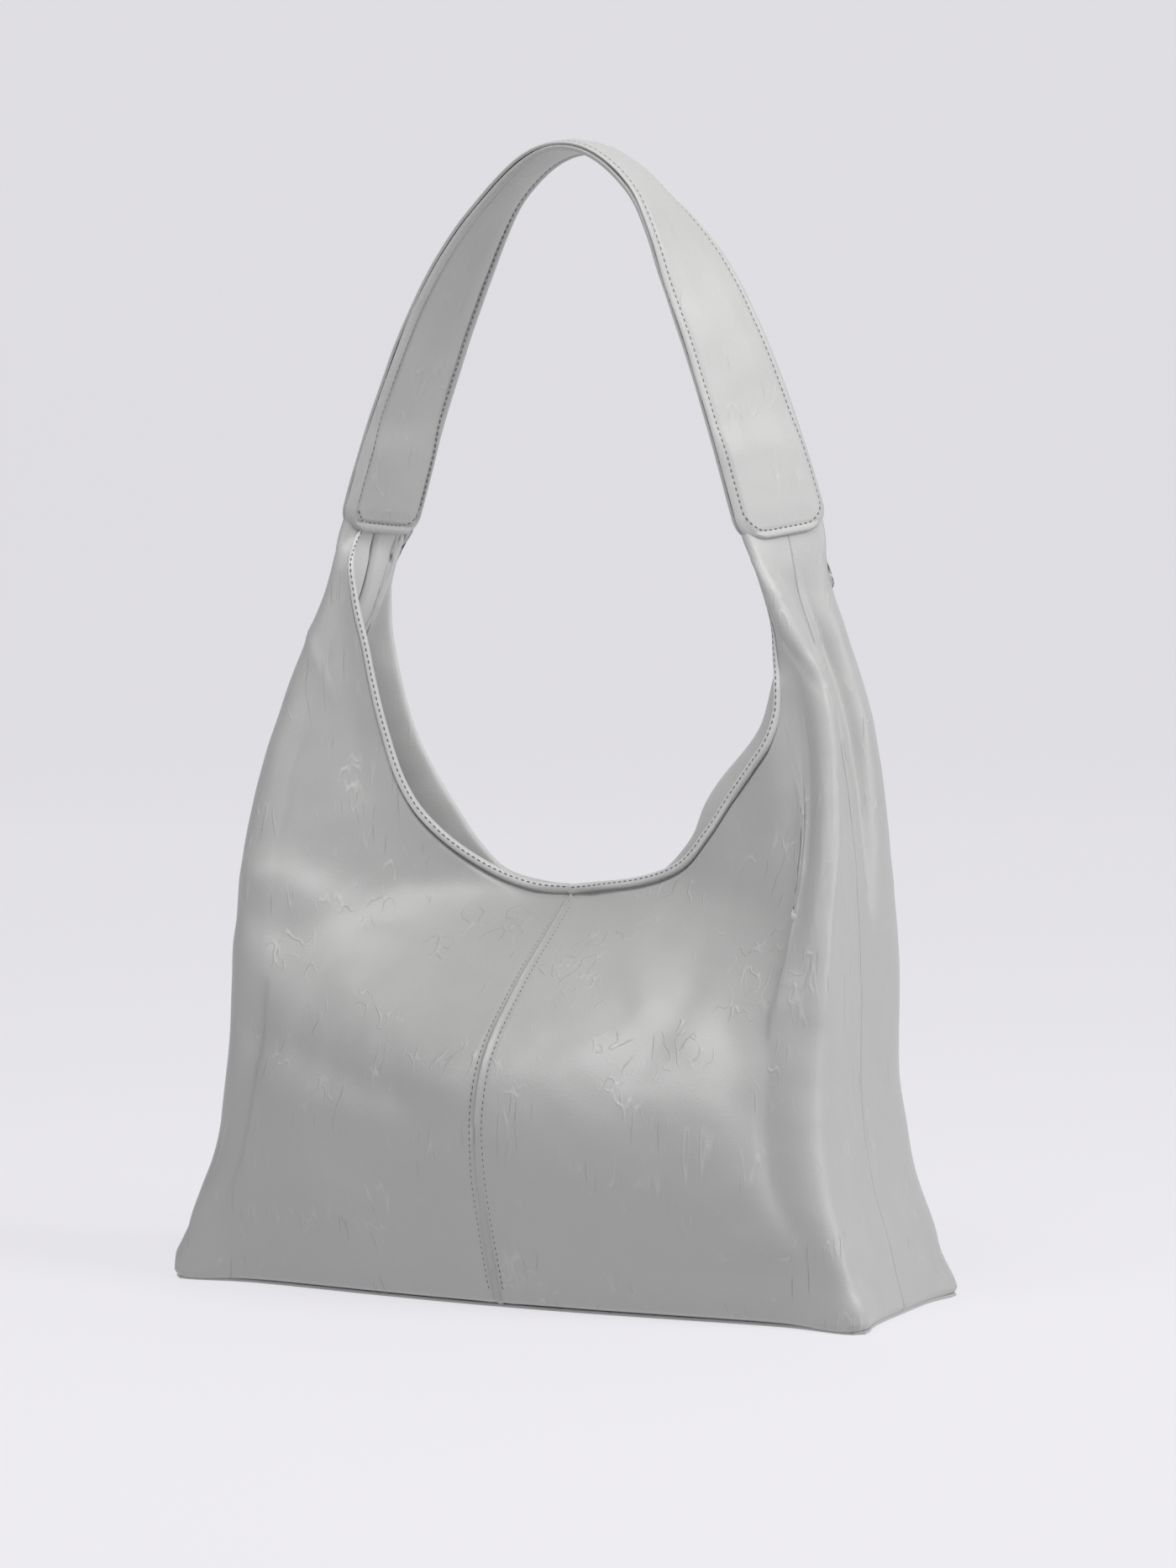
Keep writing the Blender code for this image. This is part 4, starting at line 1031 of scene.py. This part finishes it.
def makeStitches():
    for face in (front, back):
        rows = []
        for side in (left, right):
            a = np.linspace(earShare + 0.03, 1, 400)
            share, height = belowMouth(side, face, a, (stitch["belowLip"] - facing["rise"][face]) * mm)
            shown = height < stitch["mouthTop"][face]
            share, height = share[shown], height[shown]
            rows.append((skin(side, face, share, height, -stitch["onLip"]),
                         outward(side, face, share, height)))
        stitches(faceName[face] + "MouthStitching", rows, "ear")
        rows = []
        for side in (left, right):
            top = mouth[side, face][-1][1] * mm - stitch["seamMargin"]
            height = np.linspace(top, stitch["seamLow"], 200)
            share = np.full(200, 1 - surface["stitchFromSeam"] / mm / surface["girth"])
            rows.append((skin(side, face, share, height, 0, seams=True),
                         outward(side, face, share, height)))
        stitches(faceName[face] + "SeamStitching", rows, "bag")
    for name, under, inward in (("strapOuterStitching", False, strapLook["stitchIn"]),
                                ("strapUnderStitching", True, stitch["underIn"])):
        whole = strapHalf()
        end = whole - inward
        ring = []
        for way in (1, -1):
            along = np.linspace(-end, end, 1200) * way
            half = strapHalfWidth(np.clip(along * whole / end, -whole, whole))
            ring.append(np.column_stack([along, way * np.maximum(half - inward, 0)]))
        ring = np.concatenate(ring + [ring[0][:1]])
        along, across = ring.T
        points = bandPoint(along, across, under, stitch["strapProud"])
        outs = (bandPoint(along, across, under, stitch["strapProud"] + mm) - points) / mm
        stitches(name, [(points, outs)], "ear")


makeStitches()
print("stitches made")

# ---- studio
studio = {
    # name, azimuth from the camera, elevation, distance, size, power
    "lights": [("keyLight", 62, 46, 2.2, (1.0, 1.0), 25),
               ("sideLight", 84, 8, 2.2, (1.2, 1.0), 12),
               ("frontLight", -14, 60, 1.2, (0.8, 0.8), 9.5),
               ("leftLight", -60, 30, 2.4, (0.8, 1.4), 6)],
    "lightAim": (0, 0, 0.25),
    "azimuth": 25.6, "elevation": 4.1, "distance": 2.397, "lens": 115, "aim": (0.0129, 0.2426),
    "floorNear": -3.2, "floorFar": 2.6, "sweep": 1.0, "wallTop": 4.5, "floorWidth": 9,
    "floor": (0.14, 0.138, 0.142), "floorGlow": (0.67, 0.66, 0.69), "floorRoughness": 0.9,
    "worldColour": (0.96, 0.955, 0.97), "worldStrength": 0.1,
}


def awayFrom(azimuth, elevation):
    a, e = math.radians(azimuth), math.radians(elevation)
    return Vector((math.sin(a) * math.cos(e), -math.cos(a) * math.cos(e), math.sin(e)))


def aimed(name, data, target, away, distance):
    holder = bpy.data.objects.new(name, data)
    holder.location = target + away * distance
    holder.rotation_mode = "QUATERNION"
    holder.rotation_quaternion = (-away).to_track_quat("-Z", "Y")
    bpy.context.scene.collection.objects.link(holder)
    return holder


def makeCamera():
    s = studio
    a = math.radians(s["azimuth"])
    aside, up = s["aim"]
    target = Vector((math.cos(a) * aside, math.sin(a) * aside, up))
    data = bpy.data.cameras.new("camera")
    data.lens = s["lens"]
    away = awayFrom(s["azimuth"], s["elevation"])
    bpy.context.scene.camera = aimed("camera", data, target, away, s["distance"])


def makeFloor():  # a floor that sweeps up into a wall
    s = studio
    far, sweep, width = s["floorFar"], s["sweep"], s["floorWidth"]
    bm = bmesh.new()
    profile = [(s["floorNear"], 0), (far, 0)]
    for n in range(1, 13):
        turn = n / 12 * math.pi / 2
        profile.append((far + sweep * math.sin(turn), sweep - sweep * math.cos(turn)))
    profile.append((far + sweep, s["wallTop"]))
    line = [bm.verts.new((-width / 2, y, z)) for y, z in profile]
    edges = [bm.edges.new(pair) for pair in zip(line, line[1:])]
    moveNew(bm, bmesh.ops.extrude_edge_only(bm, edges=edges), (width, 0, 0))
    turned = Matrix.Rotation(math.radians(s["azimuth"]), 3, "Z")
    bmesh.ops.rotate(bm, verts=bm.verts, cent=(0, 0, 0), matrix=turned)
    bmesh.ops.recalc_face_normals(bm, faces=bm.faces)
    material, tree, shader = nodesOf("paleFloor")
    shader.inputs["Base Color"].default_value = (*s["floor"], 1)
    shader.inputs["Roughness"].default_value = s["floorRoughness"]
    shader.inputs["Emission Color"].default_value = (*s["floorGlow"], 1)
    shader.inputs["Emission Strength"].default_value = 1
    meshPiece("floor", bm, material, None)


def makeStudio():
    s = studio
    makeCamera()
    makeFloor()
    for name, azimuth, elevation, distance, size, power in s["lights"]:
        lamp = bpy.data.lights.new(name, "AREA")
        lamp.shape, lamp.size, lamp.size_y, lamp.energy = "RECTANGLE", *size, power
        away = awayFrom(azimuth + s["azimuth"], elevation)
        aimed(name, lamp, Vector(s["lightAim"]), away, distance)
    world = bpy.data.worlds.new("studio")
    world.use_nodes = True
    sky = world.node_tree.nodes["Background"]
    sky.inputs["Color"].default_value = (*s["worldColour"], 1)
    sky.inputs["Strength"].default_value = s["worldStrength"]
    bpy.context.scene.world = world
    bpy.context.scene.view_settings.view_transform = "Standard"


makeStudio()
print("studio made")
